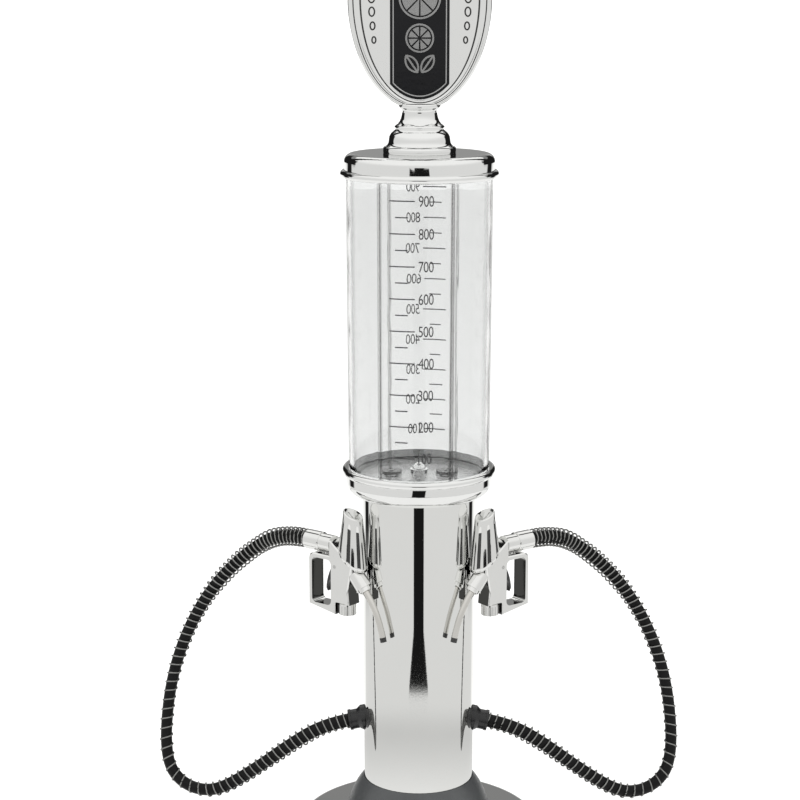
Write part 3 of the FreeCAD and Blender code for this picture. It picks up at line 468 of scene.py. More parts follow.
def clear_plastic(name, clear, thick):
    """Clear moulded plastic with the faint waves that moulding leaves, and painted shade on the ribs."""
    material, tree, shader, place = new_material(name)
    shader.inputs["Transmission Weight"].default_value = 1.0
    shader.inputs["IOR"].default_value = 1.49
    haze = noise(tree, place, mould_wave)
    walls = two_colours(tree, haze, clear, tuple(level + 0.02 for level in clear))
    mix = tree.nodes.new("ShaderNodeMix")
    mix.data_type = "RGBA"
    tree.links.new(rib_shade_mask(tree, place), mix.inputs["Factor"])
    tree.links.new(walls, mix.inputs["A"])
    # The rib colour is painted shade for the ribs' dark lines.
    mix.inputs["B"].default_value = (*thick, 1.0)
    tree.links.new(mix.outputs["Result"], shader.inputs["Base Color"])
    tree.links.new(spread(tree, haze, *haze_range, 0.0, haziest), shader.inputs["Roughness"])
    bumped(tree, shader, haze, *wave_bump)
    return material


# grey(0.42) is the painted shade on the ribs.
tank_clear = clear_plastic("tank_clear", (0.83, 0.835, 0.835), grey(0.42))
print("ribs at", [first_rib + 360 / tank_ribs * number for number in range(tank_ribs)], "degrees")

# %% [markdown]
# The sign's window is black enamel, sunk in chrome. Pure black would show nothing at all, so it
# is a very dark colour with a thin even gloss, and a soft bump lets the highlights swim a little.

# %% Black enamel
enamel_patch = 90.0
enamel_swim = 260.0


def window_gloss(name):
    """The black enamel in the sign's window."""
    material, tree, shader, place = new_material(name)
    shader.inputs["Specular IOR Level"].default_value = 0.2
    clouds = noise(tree, place, enamel_patch, cloud_detail)
    enamel = two_colours(tree, clouds, (0.004, 0.004, 0.005), (0.012, 0.012, 0.014))
    tree.links.new(enamel, shader.inputs["Base Color"])
    tree.links.new(spread(tree, clouds, *middle_range, 0.05, 0.14), shader.inputs["Roughness"])
    bumped(tree, shader, noise(tree, place, enamel_swim), 0.08, 0.0004)
    return material


window_black = window_gloss("window_black")
print("materials:", sorted(material.name for material in bpy.data.materials))

# %% [markdown]
# Every solid gets the finish of the real piece: chrome outside, plain steel for rods, screws
# and nuts, silicone for seals. Assigning by hand in the viewport is easy to forget, so one
# table names a finish for each node, and the guns share theirs.

# %% Finishes of the solids
side_names = ("left", "right")
gun_finishes = {
    "body": gun_chrome, "hood": gun_chrome, "nozzle": gun_chrome, "spout": spout_steel,
    "spout_nut": gun_chrome, "connector": gun_chrome, "swivel_nut": gun_chrome,
    "valve_cap": gun_chrome, "trigger_pin": plain_steel, "hang_plate": gun_chrome,
    "trigger": trigger_black, "plunger": plain_steel,
}
node_finishes = {
    "foot_shell": lid_chrome, "foot_pads": foot_rubber, "ballast_plate": ballast_iron,
    "ballast_screws": plain_steel, "base_dome": dome_paint, "column_shell": column_chrome,
    "tie_rod": plain_steel, "tie_nut": plain_steel, "cap_nut": lid_chrome,
    "upper_cup": lid_chrome, "tank_gasket": seal_silicone, "tank": tank_clear,
    "outlet_spigots": tank_clear, "gland_nuts": gland_plastic, "hanger_screws": plain_steel,
    "lid_cap": lid_chrome, "lid_seal": seal_silicone, "pedestal": lid_chrome,
    "pedestal_nut": plain_steel, "sign_body": lid_chrome, "sign_window_front": window_black,
    "sign_window_back": window_black, "sign_emblem_front": emblem_steel,
    "sign_emblem_back": emblem_steel, "sign_rings": painted_shade_steel, "sign_pin": plain_steel,
}
for side in side_names:
    node_finishes["inner_tube_" + side] = seal_silicone
    node_finishes["hose_gland_" + side] = gland_plastic
    node_finishes["hose_" + side] = hose_rubber
    node_finishes["hanger_" + side] = gun_chrome
    for part, finish in gun_finishes.items():
        node_finishes["gun_" + side + "_" + part] = finish
    node_finishes["gun_" + side + "_body"] = gun_bodies[side]
print("finishes chosen for", len(node_finishes), "of", len(dispenser_nodes), "nodes")

# %% [markdown]
# The solids arrive as fine facets. Polished metal shows every facet, so equal corners are
# welded, the faces are shaded smooth, and edges sharper than thirty degrees are split again.
# Doing this with modifiers leaves the mesh itself as the CAD model made it.

# %% Dress the solids
weld_reach = 0.000002
sharp_edge = math.radians(30)
face_weight = 80


def dress(name, finish):
    """Smooth shading and a finish for one CAD node."""
    node = dispenser_nodes[name]
    normals = node.data.attributes.get("custom_normal")
    if normals:
        node.data.attributes.remove(normals)
    for face in node.data.polygons:
        face.use_smooth = True
    weld = node.modifiers.new("weld", "WELD")
    weld.merge_threshold = weld_reach
    split = node.modifiers.new("split", "EDGE_SPLIT")
    split.split_angle = sharp_edge
    level_faces = node.modifiers.new("level_faces", "WEIGHTED_NORMAL")
    level_faces.weight = face_weight
    node.data.materials.clear()
    node.data.materials.append(finish)


for name, finish in node_finishes.items():
    dress(name, finish)
print("smooth edges under", round(math.degrees(sharp_edge)), "degrees on", len(node_finishes), "nodes")

# %% [markdown]
# Now the hoses themselves. Each is a black rubber tube, stretched a little in the middle of its
# loop. A bevelled curve would have one thickness all along, so the tube is skinned over rings
# whose radius shrinks and grows again on the way.

# %% The rubber tubes
tube_places = 260
tube_sides = 20
tube_stretch = 0.14


def hose_mesh(line):
    """The tube's skin: round everywhere, a hair thinner where the hose is stretched."""
    rings = []
    for number, (spot, way, side, up) in enumerate(frames_along(line, tube_places)):
        share = number / (tube_places - 1)
        radius = hose_radius * (1.0 - tube_stretch * math.sin(math.pi * share))
        rings.append(circle_round(spot, side, up, radius, tube_sides))
    return ring_mesh("hose_tube", rings)


thinnest = hose_radius * (1.0 - tube_stretch)
print("tube", round(2000 * hose_radius, 1), "mm thick, and", round(2000 * thinnest, 1), "in the middle")

# %% [markdown]
# A thin steel wire is wound round the rubber to keep it from kinking. It stands off the tube
# near the gun, hugs it at the far side of the loop, and opens again on the way back. A screw
# modifier winds evenly, so the wire's own line is worked out turn by turn from a small table.

# %% The wound wire
wire_radius = 0.00052
wire_sides = 7
wire_places = 1900
# Two slow swells of the winding: their size, and their pace along the hose.
wire_swells = ((0.02, 37.0), (0.015, 91.0))
# Share of the hose's length, radius of the winding, and length of one turn.
wire_table = (
    (0.00, 0.0060, 0.0031), (0.10, 0.0063, 0.0031), (0.25, 0.0055, 0.0042),
    (0.42, 0.0045, 0.0056), (0.55, 0.0043, 0.0064), (0.66, 0.0045, 0.0060),
    (0.74, 0.0050, 0.0048), (0.90, 0.0056, 0.0045), (1.00, 0.0054, 0.0044),
)


def from_table(share, column):
    """Reads a column of the wire's table at a share of the hose's length."""
    for low, high in zip(wire_table, wire_table[1:]):
        if share <= high[0]:
            part = (share - low[0]) / (high[0] - low[0])
            return low[column] + (high[column] - low[column]) * part
    return wire_table[-1][column]


def wire_mesh(line, hand):
    """The steel wire, wound along the whole hose."""
    step = line_length(line) / (wire_places - 1)
    turn = 0.0
    centre = []
    for number, (spot, way, side, up) in enumerate(frames_along(line, wire_places)):
        share = number / (wire_places - 1)
        radius = from_table(share, 1)
        swell = 1.0
        for size, pace in wire_swells:
            swell += size * math.sin(pace * share)
        reach = radius * swell - wire_radius
        centre.append(spot + (side * math.cos(turn) + up * math.sin(turn) * hand) * reach)
        turn += full_turn * step / from_table(share, 2)
    print("wire turns", round(turn / full_turn, 1))
    rings = []
    for number, spot in enumerate(centre):
        before = centre[max(number - 1, 0)]
        after = centre[min(number + 1, wire_places - 1)]
        way = (after - before).normalized()
        steady = Vector((0.0, 0.0, 1.0)) if abs(way.z) < 0.9 else Vector((1.0, 0.0, 0.0))
        across = way.cross(steady).normalized()
        rings.append(circle_round(spot, across, way.cross(across), wire_radius, wire_sides))
    return ring_mesh("hose_wire", rings)


print("wire", round(2000 * wire_radius, 2), "mm thick,", wire_places, "rings along each hose")

# %% [markdown]
# A hose is fixed to the column at one end and to a gun at the other. When the gun is lifted,
# its end has to go along and the other end has to stay. Here each tube and its wire go into the
# scene on no body, with their places baked in, and the CAD hose they stand for is hidden.

# %% Put the hoses in place
for side in side_names:
    line = hose_lines[side]
    hand = 1 if side == "left" else -1
    tube = add_piece("hose_tube_" + side, hose_mesh(line), None, hose_rubber)
    wire = add_piece("hose_wire_" + side, wire_mesh(line, hand), None, wire_steel)
    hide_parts("hose_" + side)
    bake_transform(tube)
    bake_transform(wire)
    print(tube.name, "faces", len(tube.data.polygons), "and its wire", len(wire.data.polygons))

# %% [markdown]
# The tank carries a printed scale, once on the front and once on the back, and both are seen
# at the same time through the clear walls. A picture on the wall would be the usual way. Here
# each mark is a very thin closed film, bent round the wall, so it stays sharp at any distance.

# %% Marks bent round the wall
tank_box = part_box("tank")
tank_foot_radius = 0.0428
tank_draft = 0.0010
print_rise = 0.00012
print_depth = 0.00010
mark_half = 0.00035
mark_steps = 12


def tank_wall(height):
    """The tank's outer radius at a height."""
    share = (height - tank_box[0].z) / (tank_box[1].z - tank_box[0].z)
    return tank_foot_radius + tank_draft * min(max(share, 0.0), 1.0)


def on_wall(across, height, rise, turn):
    """A point of the print: so far across from the front's middle, and so far off the wall."""
    radius = tank_wall(height)
    angle = across / radius + turn
    reach = radius + rise
    return Vector((reach * math.sin(angle), -reach * math.cos(angle), height))


def mark_film(work, left, right, height, turn):
    """One mark as a thin closed film on the wall."""
    rows = []
    for step in range(mark_steps + 1):
        across = left + (right - left) * step / mark_steps
        rows.append([
            work.verts.new(on_wall(across, height - mark_half, print_rise, turn)),
            work.verts.new(on_wall(across, height + mark_half, print_rise, turn)),
            work.verts.new(on_wall(across, height + mark_half, print_rise - print_depth, turn)),
            work.verts.new(on_wall(across, height - mark_half, print_rise - print_depth, turn)),
        ])
    for here, there in zip(rows, rows[1:]):
        for corner in range(4):
            after = (corner + 1) % 4
            work.faces.new((here[corner], there[corner], there[after], here[after]))
    work.faces.new(rows[0])
    work.faces.new(reversed(rows[-1]))


print("tank wall from", round(tank_wall(tank_box[0].z), 4), "to", round(tank_wall(tank_box[1].z), 4), "m")

# %% [markdown]
# The numbers start as Blender text, which brings the shapes of the digits along. Text can bend
# only along a curve, not round a wall. So it is turned into a mesh, squeezed to the narrow
# print of the real scale, and each corner is moved to its place on the tank.

# %% The two scales
scale_zero = 0.2372
scale_step = 0.0192
first_half_mark = 2
last_half_mark = 18
half_mark_ml = 50
long_mark = (-0.0181, -0.0026)
short_mark = (-0.0145, -0.0068)
number_left = -0.0004
number_size = 0.0092
number_squeeze = 0.72
number_spacing = 0.92


def number_film(work, words, height, turn):
    """A number as flat text, turned into a mesh and bent round the wall."""
    text = bpy.data.curves.new("number", "FONT")
    text.body = words
    text.size = number_size
    text.extrude = print_depth / 2
    text.resolution_u = 3
    text.space_character = number_spacing
    holder = bpy.data.objects.new("number", text)
    bpy.context.scene.collection.objects.link(holder)
    bpy.context.view_layer.update()
    flat = bpy.data.meshes.new_from_object(holder)
    low = min(vertex.co.y for vertex in flat.vertices)
    high = max(vertex.co.y for vertex in flat.vertices)
    middle = (low + high) / 2
    start = min(vertex.co.x for vertex in flat.vertices)
    for vertex in flat.vertices:
        spot = vertex.co
        across = number_left + (spot.x - start) * number_squeeze
        rise = print_rise - print_depth / 2 + spot.z
        vertex.co = on_wall(across, height + spot.y - middle, rise, turn)
    work.from_mesh(flat)
    bpy.data.objects.remove(holder)
    bpy.data.curves.remove(text)
    bpy.data.meshes.remove(flat)


def scale_mesh(turn):
    """All marks and numbers of one scale."""
    work = bmesh.new()
    for half in range(first_half_mark, last_half_mark + 1):
        height = scale_zero + scale_step * half / 2
        if half % 2 == 0:
            mark_film(work, *long_mark, height, turn)
            number_film(work, str(half * half_mark_ml), height, turn)
        else:
            mark_film(work, *short_mark, height, turn)
    mesh = bpy.data.meshes.new("tank_scale")
    work.to_mesh(mesh)
    work.free()
    return mesh


for facing, turn in (("front", 0.0), ("back", math.pi)):
    scale = add_piece("tank_scale_" + facing, scale_mesh(turn), "stand", print_ink)
    print(scale.name, "faces", len(scale.data.polygons))

# %% [markdown]
# The sign is a pressed oval plate. Its rim is a rounded band with a fine groove, then a sharp
# step down to a flat field. A subdivided plane could be sculpted, but every part of the rim is
# an oval of its own width and height, so the plate is skinned over a list of such ovals.

# %% The oval sign plate
sign_middle = 0.5256
oval_steps = 120
# Half width, half height and depth in millimetres, and 1 where the groove and the step get painted shade.
sign_ovals = (
    (42.60, 65.70, 0.0, 0), (42.55, 65.66, 2.4, 0), (42.20, 65.40, 3.6, 0), (41.50, 64.90, 4.3, 0),
    (40.60, 64.40, 4.5, 0), (39.70, 63.80, 4.42, 0), (39.55, 63.70, 4.1, 1), (39.15, 63.45, 4.1, 1),
    (39.00, 63.35, 4.36, 1), (38.00, 62.80, 4.5, 0), (36.60, 62.10, 4.44, 0), (35.60, 61.60, 4.1, 0),
    (35.30, 61.42, 3.7, 1), (34.60, 61.00, 3.1, 1), (33.80, 60.40, 3.1, 0), (25.0, 45.0, 3.1, 0),
    (12.0, 22.0, 3.1, 0), (0.5, 0.9, 3.1, 0),
)


def oval_ring(half_width, half_height, depth):
    """Points of one oval, in millimetres from the sign's middle."""
    return [
        Vector((
            half_width * math.cos(full_turn * step / oval_steps),
            depth,
            half_height * math.sin(full_turn * step / oval_steps),
        )) / 1000 + Vector((0.0, 0.0, sign_middle))
        for step in range(oval_steps)
    ]


def sign_plate_mesh():
    """The whole plate: back field, back rim, edge, front rim, front field."""
    front = [oval_ring(a, b, -y) for a, b, y, dark in sign_ovals]
    back = [oval_ring(a, b, y) for a, b, y, dark in sign_ovals]
    painted_shade_rows = [oval[3] for oval in sign_ovals]
    mesh = ring_mesh("sign_plate", list(reversed(back)) + front[1:])
    # Rows marked 1 take the near-black steel: painted shade in the groove and on the step.
    bands = list(reversed(painted_shade_rows[1:])) + painted_shade_rows[1:]
    for face in mesh.polygons:
        row = face.index // oval_steps
        face.material_index = bands[row] if row < len(bands) else 0
    return mesh


sign_plate = add_piece("sign_plate", sign_plate_mesh(), "lid", lid_chrome)
sign_plate.data.materials.append(painted_shade_steel)
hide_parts("sign_body")
print("sign plate faces", len(sign_plate.data.polygons))

# %% [markdown]
# The dark window is a strip whose ends follow the oval of the rim. A fine raised line runs
# inside its edge. Both are made from one outline that can be drawn at any distance inwards.

# %% The windows in the sign
window_half = 17.6
window_oval = (33.2, 59.4)
window_rise = (3.02, 3.25)
edge_in, edge_down = 0.1, 0.08
arc_steps = 24


def window_outline(inset):
    """The window's outline, moved inwards, in millimetres."""
    half = window_half - inset
    wide, tall = window_oval[0] - inset, window_oval[1] - inset
    corner = math.asin(half / wide)
    angles = [-corner + 2 * corner * step / arc_steps for step in range(arc_steps + 1)]
    lower = [(wide * math.sin(angle), -tall * math.cos(angle)) for angle in angles]
    return lower + [(-x, -z) for x, z in lower]


def on_sign(points, depth):
    """Outline points of the sign, in metres, at a depth."""
    return [Vector((x / 1000, depth / 1000, sign_middle + z / 1000)) for x, z in points]


line_sink = 0.05
line_lift = 0.3
line_feet = (1.5, 2.3)
line_tops = (1.6, 2.2)


def frame_line_mesh(side):
    """The fine line inside the window's edge, as a closed strip."""
    foot, top = window_rise[1] - line_sink, window_rise[1] + line_lift
    rows = (
        (line_feet[0], foot), (line_tops[0], top), (line_tops[1], top), (line_feet[1], foot),
        (line_feet[0], foot),
    )
    outlines = [on_sign(window_outline(inset), side * depth) for inset, depth in rows]
    return ring_mesh("sign_frame_line", outlines, False)


for facing, side in (("front", -1), ("back", 1)):
    rows = ((0.0, window_rise[0]), (0.0, window_rise[1] - edge_down), (edge_in, window_rise[1]))
    outlines = [on_sign(window_outline(inset), side * depth) for inset, depth in rows]
    plate = ring_mesh("sign_window", outlines)
    window = add_piece("sign_window_plate_" + facing, plate, "lid", window_black)
    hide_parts("sign_window_" + facing)
    add_piece("sign_frame_line_" + facing, frame_line_mesh(side), "lid", emblem_steel)
    print(window.name, "faces", len(window.data.polygons))

# %% [markdown]
# The pedestal is turned on a lathe, so a profile swept round its axis is all it needs. The
# profile is a chain of soft steps. Chrome shows each step as a dark line at its edge.

# %% The turned pedestal
lathe_sides = 96
# Radius and height in millimetres, from the foot up.
pedestal_profile = (
    (0.3, 434.45), (21.8, 434.45), (21.9, 434.6), (21.9, 437.2), (21.5, 438.0), (20.2, 438.6),
    (19.3, 439.4), (18.6, 440.6), (18.4, 442.2), (18.1, 444.2), (17.2, 446.0), (15.8, 447.4),
    (14.5, 448.3), (14.4, 448.8), (14.9, 449.3), (14.9, 450.3), (14.3, 450.9), (13.0, 451.8),
    (11.9, 453.2), (11.0, 455.4), (10.5, 457.8), (10.5, 459.6), (11.2, 460.8), (12.3, 461.4),
    (12.4, 462.0), (12.4, 463.2), (11.8, 463.8), (0.3, 463.8),
)


def lathe_ring(radius, height, sides):
    """Points of a level ring round the upright axis."""
    return circle_round(Vector((0.0, 0.0, height)), sideways, backwards, radius, sides)


pedestal_rings = [
    lathe_ring(radius / 1000, height / 1000, lathe_sides) for radius, height in pedestal_profile
]
pedestal_mesh = ring_mesh("turned_pedestal", pedestal_rings)
turned_pedestal = add_piece("turned_pedestal", pedestal_mesh, "lid", lid_chrome)
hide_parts("pedestal")
print("pedestal rings:", len(pedestal_rings))

# %% [markdown]
# Each gun stands in an upright plane that is turned towards the viewer. Its pieces are easiest to
# draw in that plane, as a distance along it, a height and a depth, and one helper puts such a
# point in its place. The right-hand gun is the mirror image of the left-hand one.

# %% Places on a gun
gun_origin = (-46.5, -14.5)


def on_gun(side, along, height, depth=0.0):
    """A point of a gun, from millimetres in its own plane."""
    x = gun_origin[0] + along * math.cos(gun_turn) + depth * math.sin(gun_turn)
    y = gun_origin[1] - along * math.sin(gun_turn) + depth * math.cos(gun_turn)
    return Vector((x if side == "left" else -x, y, height)) / 1000


print("the left gun's own plane starts at", tuple(round(part, 4) for part in on_gun("left", 0.0, 0.0)))

# %% [markdown]
# The spout is a thin steel tube; painted shade darkens its open end. A curve with a round bevel
# gives a closed rod, so the tube is skinned down its outside, round the lip and up its bore.
# Between the drawn knots it bends evenly, by a cubic that passes through every knot.

# %% The bent spout
spout_knots = ((14.9, 172.9), (16.5, 170.6), (21.8, 163.6), (26.3, 155.8), (29.5, 147.7), (31.9, 139.4))
spout_radius = 2.0
spout_bore = 1.45
spout_sides = 24
spout_places = 40
bend_steps = 8
bore_rings = 10
tip_rings = 4


def bent_line(knots):
    """Points on a smooth line through the knots."""
    smooth = []
    for number in range(len(knots) - 1):
        before = knots[max(number - 1, 0)]
        here, there = knots[number], knots[number + 1]
        after = knots[min(number + 2, len(knots) - 1)]
        for step in range(bend_steps):
            t = step / bend_steps
            place = here * (2 * t ** 3 - 3 * t ** 2 + 1) + there * (3 * t ** 2 - 2 * t ** 3)
            start_pull = (there - before) * 0.5 * (t ** 3 - 2 * t ** 2 + t)
            end_pull = (after - here) * 0.5 * (t ** 3 - t ** 2)
            smooth.append(place + start_pull + end_pull)
    return smooth + [knots[-1]]


def spout_mesh(side):
    """A bent tube whose open end is darkened with painted shade, skinned from outside to inside."""
    knots = [on_gun(side, along, height) for along, height in spout_knots]
    places = frames_along(bent_line(knots), spout_places)
    bore_places = list(reversed(places[-bore_rings:]))
    rings = []
    for radius, order in ((spout_radius, places), (spout_bore, bore_places)):
        for spot, way, across, over in order:
            rings.append(circle_round(spot, across, over, radius / 1000, spout_sides))
    mesh = ring_mesh("gun_spout", rings)
    # The last rings outside, the lip and the bore take painted shade.
    painted_shade_from = (spout_places - tip_rings) * spout_sides
    root_end = len(mesh.polygons) - 2
    for face in mesh.polygons:
        if face.index >= painted_shade_from and face.index != root_end:
            face.material_index = 1
    return mesh


print("spout", 2 * spout_radius, "mm thick with a bore of", 2 * spout_bore, "mm")

# %% [markdown]
# Over the valve stands a flared sleeve, cut on a slope at both ends, with eight flat flutes
# that show a black reflection between bright lands. Cutting them with booleans leaves rough edges.
# Here each ring of the sleeve dips inwards at the flutes, and their faces get the near-black steel as a
# painted dark reflection.

# %% The hood over the valve
hood_middle = 8.0
# Share of the way down, and radius in millimetres.
hood_rows = ((0.0, 5.9), (0.04, 6.1), (0.235, 6.59), (0.25, 6.75), (0.60, 7.95), (0.93, 8.95), (1.0, 9.1))
hood_crown = ((0.0, 0.4), (0.0, 5.3))
hood_inside = ((1.0, 8.0), (0.5, 6.6))
hood_top = (216.2, math.tan(math.radians(25)))
hood_bottom = (187.8, math.tan(math.radians(38)))
hood_sides = 160
crown_lift = 0.25
flute_first = 19.0
flute_step = 45.0
flute_half = 8.5
flute_slope = 2.5
flute_depth = 0.45
fluted_rows = (5, 7)


def hood_height(share, along):
    """The height of a row of the hood, whose top and bottom are both cut on a slope."""
    top = hood_top[0] - hood_top[1] * along
    bottom = hood_bottom[0] - hood_bottom[1] * along
    return top + (bottom - top) * share


def in_flute(angle):
    """1 in the middle of a flute, 0 on the land between two of them."""
    off = abs((math.degrees(angle) - flute_first + flute_step / 2) % flute_step - flute_step / 2)
    return min(max((flute_half - off) / flute_slope, 0.0), 1.0)


def hood_mesh(side):
    """A flared sleeve with a sloping top and bottom, a band near the top, and a closed crown."""
    rings = []
    for share, radius in hood_crown + hood_rows + hood_inside:
        fluted = radius > hood_inside[1][1] and share < 0.99
        lift = crown_lift if (share, radius) in hood_crown else 0.0
        ring = []
        for step in range(hood_sides):
            angle = full_turn * step / hood_sides
            reach = radius - (flute_depth * in_flute(angle) if fluted else 0.0)
            along = reach * math.cos(angle)
            height = hood_height(share, along) + lift
            ring.append(on_gun(side, hood_middle + along, height, reach * math.sin(angle)))
        rings.append(ring)
    mesh = ring_mesh("gun_hood", rings)
    for face in mesh.polygons:
        row, step = divmod(face.index, hood_sides)
        angle = full_turn * (step + 0.5) / hood_sides
        # Faces in the flutes take a painted dark reflection.
        if fluted_rows[0] <= row < fluted_rows[1] and in_flute(angle) > 0.35:
            face.material_index = 1
    return mesh


print("flutes round a hood:", round(360 / flute_step))

# %% [markdown]
# Behind each trigger a short rod with a conical nose goes into the valve. It is a turned part
# that lies along the gun, so its rings stand upright in the gun's own plane.

# %% The valve's plunger
plunger_height = 171.5
plunger_sides = 32
# Distance along the gun, and radius, in millimetres.
plunger_rows = ((-0.60, 0.05), (-0.55, 0.6), (-0.40, 0.9), (0.75, 1.8), (4.05, 1.8))


def plunger_mesh(side):
    """A short rod with a conical nose, which the trigger pushes."""
    rings = []
    for along, radius in plunger_rows:
        turns = [full_turn * step / plunger_sides for step in range(plunger_sides)]
        rings.append([
            on_gun(side, along, plunger_height + radius * math.cos(turn), radius * math.sin(turn))
            for turn in turns
        ])
    return ring_mesh("valve_plunger", rings)


print("plunger", round(plunger_rows[-1][0] - plunger_rows[0][0], 2), "mm long")

# %% [markdown]
# Spouts and hoods ride on their guns, but a plunger has its own body, since it slides when the
# trigger is pulled. For each new piece, the solid it stands for is hidden.

# %% Put the gun pieces in place
for side in side_names:
    rod = plunger_mesh(side)
    plunger = add_piece("valve_plunger_" + side, rod, "plunger_" + side, plain_steel)
    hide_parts("gun_" + side + "_plunger")
    spout = add_piece("spout_tube_" + side, spout_mesh(side), "gun_" + side, spout_steel)
    spout.data.materials.append(painted_shade_steel)
    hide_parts("gun_" + side + "_spout")
    hood = add_piece("valve_hood_" + side, hood_mesh(side), "gun_" + side, gun_chrome)
    hood.data.materials.append(painted_shade_steel)
    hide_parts("gun_" + side + "_hood")
    print(side, "gun:", plunger.name, spout.name, hood.name)

# %% [markdown]
# What chrome shows is the room. The photographer worked with a white table, pale side panels, a
# dark gap between them in front, and dark cards further round that draw the thin black edges.
# A real room could be built from cards, but a world whose brightness depends only on the
# direction gives the same reflections from every side, and it is easy to adjust.

# %% The studio round the object
world = bpy.data.worlds.new("studio")
world.use_nodes = True
bpy.context.scene.world = world
studio = world.node_tree
studio.nodes.clear()


def sky_math(operation, first, second=None):
    """One Math node of the studio."""
    return maths(studio, operation, first, second)


def ramp(value, low, high):
    """0 below the low value, 1 above the high one, and smooth between them."""
    node = studio.nodes.new("ShaderNodeMapRange")
    node.interpolation_type = "SMOOTHSTEP"
    studio.links.new(value, node.inputs["Value"])
    node.inputs["From Min"].default_value = low
    node.inputs["From Max"].default_value = high
    return node.outputs["Result"]


def band(value, low, high, soft):
    """1 between two values, with soft edges."""
    below_top = sky_math("SUBTRACT", 1.0, ramp(value, high - soft, high))
    return sky_math("MULTIPLY", ramp(value, low, low + soft), below_top)


def layer(below, value, amount):
    """Puts a brightness over another one, by an amount from 0 to 1."""
    node = studio.nodes.new("ShaderNodeMix")
    studio.links.new(amount, node.inputs["Factor"])
    for socket, level in zip((node.inputs["A"], node.inputs["B"]), (below, value)):
        if isinstance(level, (int, float)):
            socket.default_value = level
        else:
            studio.links.new(level, socket)
    return node.outputs["Result"]


look = studio.nodes.new("ShaderNodeTexCoord").outputs["Generated"]
axes = studio.nodes.new("ShaderNodeSeparateXYZ")
studio.links.new(look, axes.inputs[0])
bearing = sky_math("ARCTAN2", axes.outputs["X"], sky_math("MULTIPLY", axes.outputs["Y"], -1.0))
turned_away = sky_math("ABSOLUTE", sky_math("MULTIPLY", bearing, degrees))
rise = sky_math("MULTIPLY", sky_math("ARCSINE", axes.outputs["Z"]), degrees)

print("studio nodes so far:", len(studio.nodes))

# %% [markdown]
# Each part of the room is a patch of directions with its own brightness, laid over the one
# before. Bearing is counted from the viewer's side, 0 in front and 180 behind, and rise from
# the horizon up, both in degrees. Real cards would do too, but a table is quicker to adjust.

# %% What each direction shows
panel_level = 0.78
ceiling_level = 0.98
ceiling_rise = (8.0, 40.0)
back_level = 1.05
back_bearing = (146.0, 150.0)
# Brightness, then bearing from, to and soft edge, then rise from, to and soft edge.
cards = (
    (0.30, (140.0, 400.0, 4.0), (-4.9, 9.0, 0.8)),
    (0.24, (140.0, 400.0, 4.0), (8.5, 30.0, 2.0)),
    (0.012, (123.0, 145.0, 5.0), (-18.0, 60.0, 3.0)),
    (0.012, (112.0, 168.0, 4.0), (-5.0, 22.0, 0.8)),
)
level = layer(panel_level, ceiling_level, ramp(rise, *ceiling_rise))
level = layer(level, back_level, ramp(turned_away, *back_bearing))
for brightness, bearings, rises in cards:
    inside = sky_math("MULTIPLY", band(turned_away, *bearings), band(rise, *rises))
    level = layer(level, brightness, inside)
print("cards round the object:", len(cards))

# %% [markdown]
# The gap in front is what the column's black stripe shows, so its shape comes from that stripe.
# It widens towards the horizon, it flares just above the table, and a narrow tongue goes on
# above it. A black card could stand there, but it would also shade the floor.

# %% The gap in front
gap_level = 0.010
gap_half_width = 10.2
gap_rise = (-19.9, -4.3, 0.3)
gap_blur = 0.6
wider_from, wider_to, wider_by = -10.0, -6.0, 4.8
flare_below, flare_slope = -18.1, 6.0
tongue_bearing = (6.0, 8.0)
tongue_rise = (-5.0, -3.5, 0.2)

under_flare = sky_math("MAXIMUM", sky_math("SUBTRACT", flare_below, rise), 0.0)
gap_low = sky_math("MULTIPLY", under_flare, flare_slope)
gap_high = sky_math("MULTIPLY", ramp(rise, wider_from, wider_to), wider_by)
gap_half = sky_math("ADD", sky_math("ADD", gap_half_width, gap_low), gap_high)
gap_edge = sky_math("SUBTRACT", gap_half, turned_away)
in_gap = sky_math("MULTIPLY", ramp(gap_edge, -gap_blur, gap_blur), band(rise, *gap_rise))
level = layer(level, gap_level, in_gap)
near_front = sky_math("SUBTRACT", 1.0, ramp(turned_away, *tongue_bearing))
in_tongue = sky_math("MULTIPLY", near_front, band(rise, *tongue_rise))
level = layer(level, gap_level, in_tongue)
print("the gap is", 2 * gap_half_width, "degrees wide")

# %% [markdown]
# The table lies below everything, so it is laid over last. Then the brightness gets a trace of
# warmth, as white studio paper has, and goes to the world's background.

# %% The table and the tint
table_far, table_near = 0.62, 0.97
table_edge = (20.0, 21.0)
table_brightens = (20.4, 23.5)
paper_tint = (1.0, 1.0, 0.985)
fall = sky_math("MULTIPLY", rise, -1.0)
table_level = layer(table_far, table_near, ramp(fall, *table_brightens))
level = layer(level, table_level, ramp(fall, *table_edge))
tint = studio.nodes.new("ShaderNodeCombineColor")
for channel, share in zip(("Red", "Green", "Blue"), paper_tint):
    studio.links.new(sky_math("MULTIPLY", level, share), tint.inputs[channel])
background = studio.nodes.new("ShaderNodeBackground")
world_output = studio.nodes.new("ShaderNodeOutputWorld")
studio.links.new(tint.outputs["Color"], background.inputs["Color"])
studio.links.new(background.outputs["Background"], world_output.inputs["Surface"])
print("studio nodes:", len(studio.nodes))

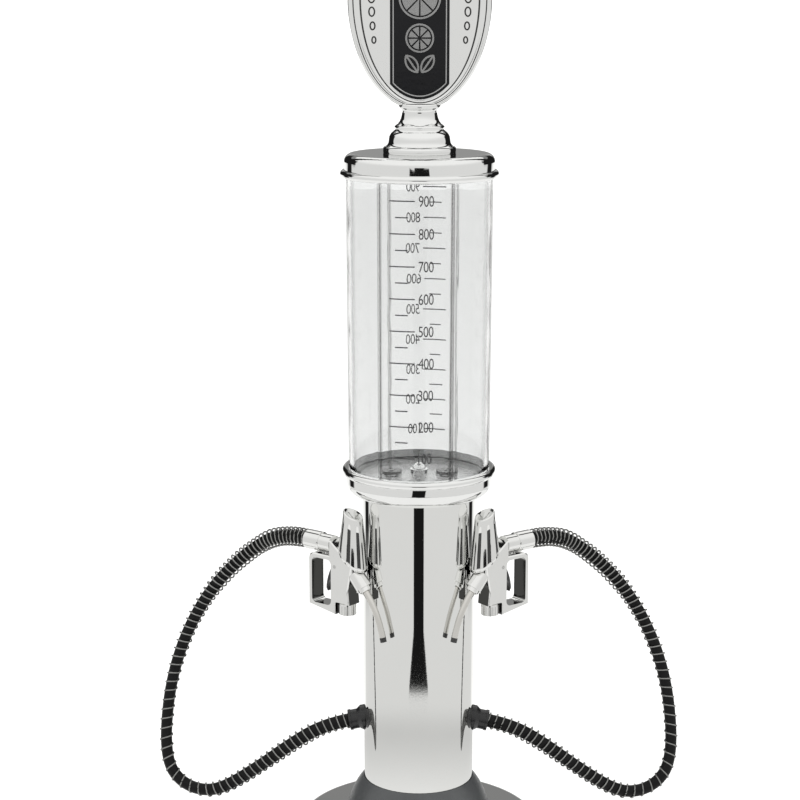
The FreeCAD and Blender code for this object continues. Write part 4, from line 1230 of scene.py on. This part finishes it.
# %% [markdown]
# The floor is a plain white disc that runs up into a white wall far behind. Metal doesn't see
# them, because the studio above already says what lies there, but shadows fall on the floor,
# and the clear tank shows both. A glow of their own keeps them white without a strong lamp.

# %% Floor and backdrop
paper_white = 0.9


def white_stage(name, glow):
    """Matt white that glows a little, so that it stays white in the picture."""
    material, tree, shader, place = new_material(name)
    shader.inputs["Base Color"].default_value = (*grey(paper_white), 1.0)
    shader.inputs["Roughness"].default_value = 0.9
    shader.inputs["Specular IOR Level"].default_value = 0.0
    shader.inputs["Emission Color"].default_value = (1.0, 1.0, 1.0, 1.0)
    shader.inputs["Emission Strength"].default_value = glow
    return material


floor_sides = 96
floor_drop = -0.0002
floor_rings = ((0.001, floor_drop), (0.3, floor_drop), (1.0, floor_drop), (4.0, floor_drop))
wall_rings = ((4.0, floor_drop), (4.6, 0.15), (4.9, 0.6), (5.0, 1.6), (5.0, 9.0))
stages = []
for name, profile, glow in (("studio_floor", floor_rings, 0.28), ("studio_wall", wall_rings, 0.45)):
    rings = [lathe_ring(radius, height, floor_sides) for radius, height in profile]
    stage = bpy.data.objects.new(name, ring_mesh(name, rings, False))
    bpy.context.scene.collection.objects.link(stage)
    stage.data.materials.append(white_stage(name, glow))
    stage.visible_glossy = False
    stages.append(stage)
studio_wall = stages[1]
studio_wall.visible_diffuse = False
studio_wall.visible_shadow = False
print("stage pieces:", [stage.name for stage in stages])

# %% [markdown]
# One large soft lamp hangs above. It draws the soft shadow under the foot, and it is hidden
# from the metal and the tank, so that no bright disc shows in them. A sun would be simpler,
# but its shadow has a hard edge.

# %% The lamp above
top_light = bpy.data.lights.new("top_light", "AREA")
top_light.shape = "DISK"
top_light.size = 1.8
top_light.energy = 14.0
top_lamp = bpy.data.objects.new("top_light", top_light)
top_lamp.location = (0.0, -0.2, 2.2)
top_lamp.visible_glossy = False
top_lamp.visible_transmission = False
bpy.context.scene.collection.objects.link(top_lamp)
print("lamp", top_light.size, "m across,", top_light.energy, "W")
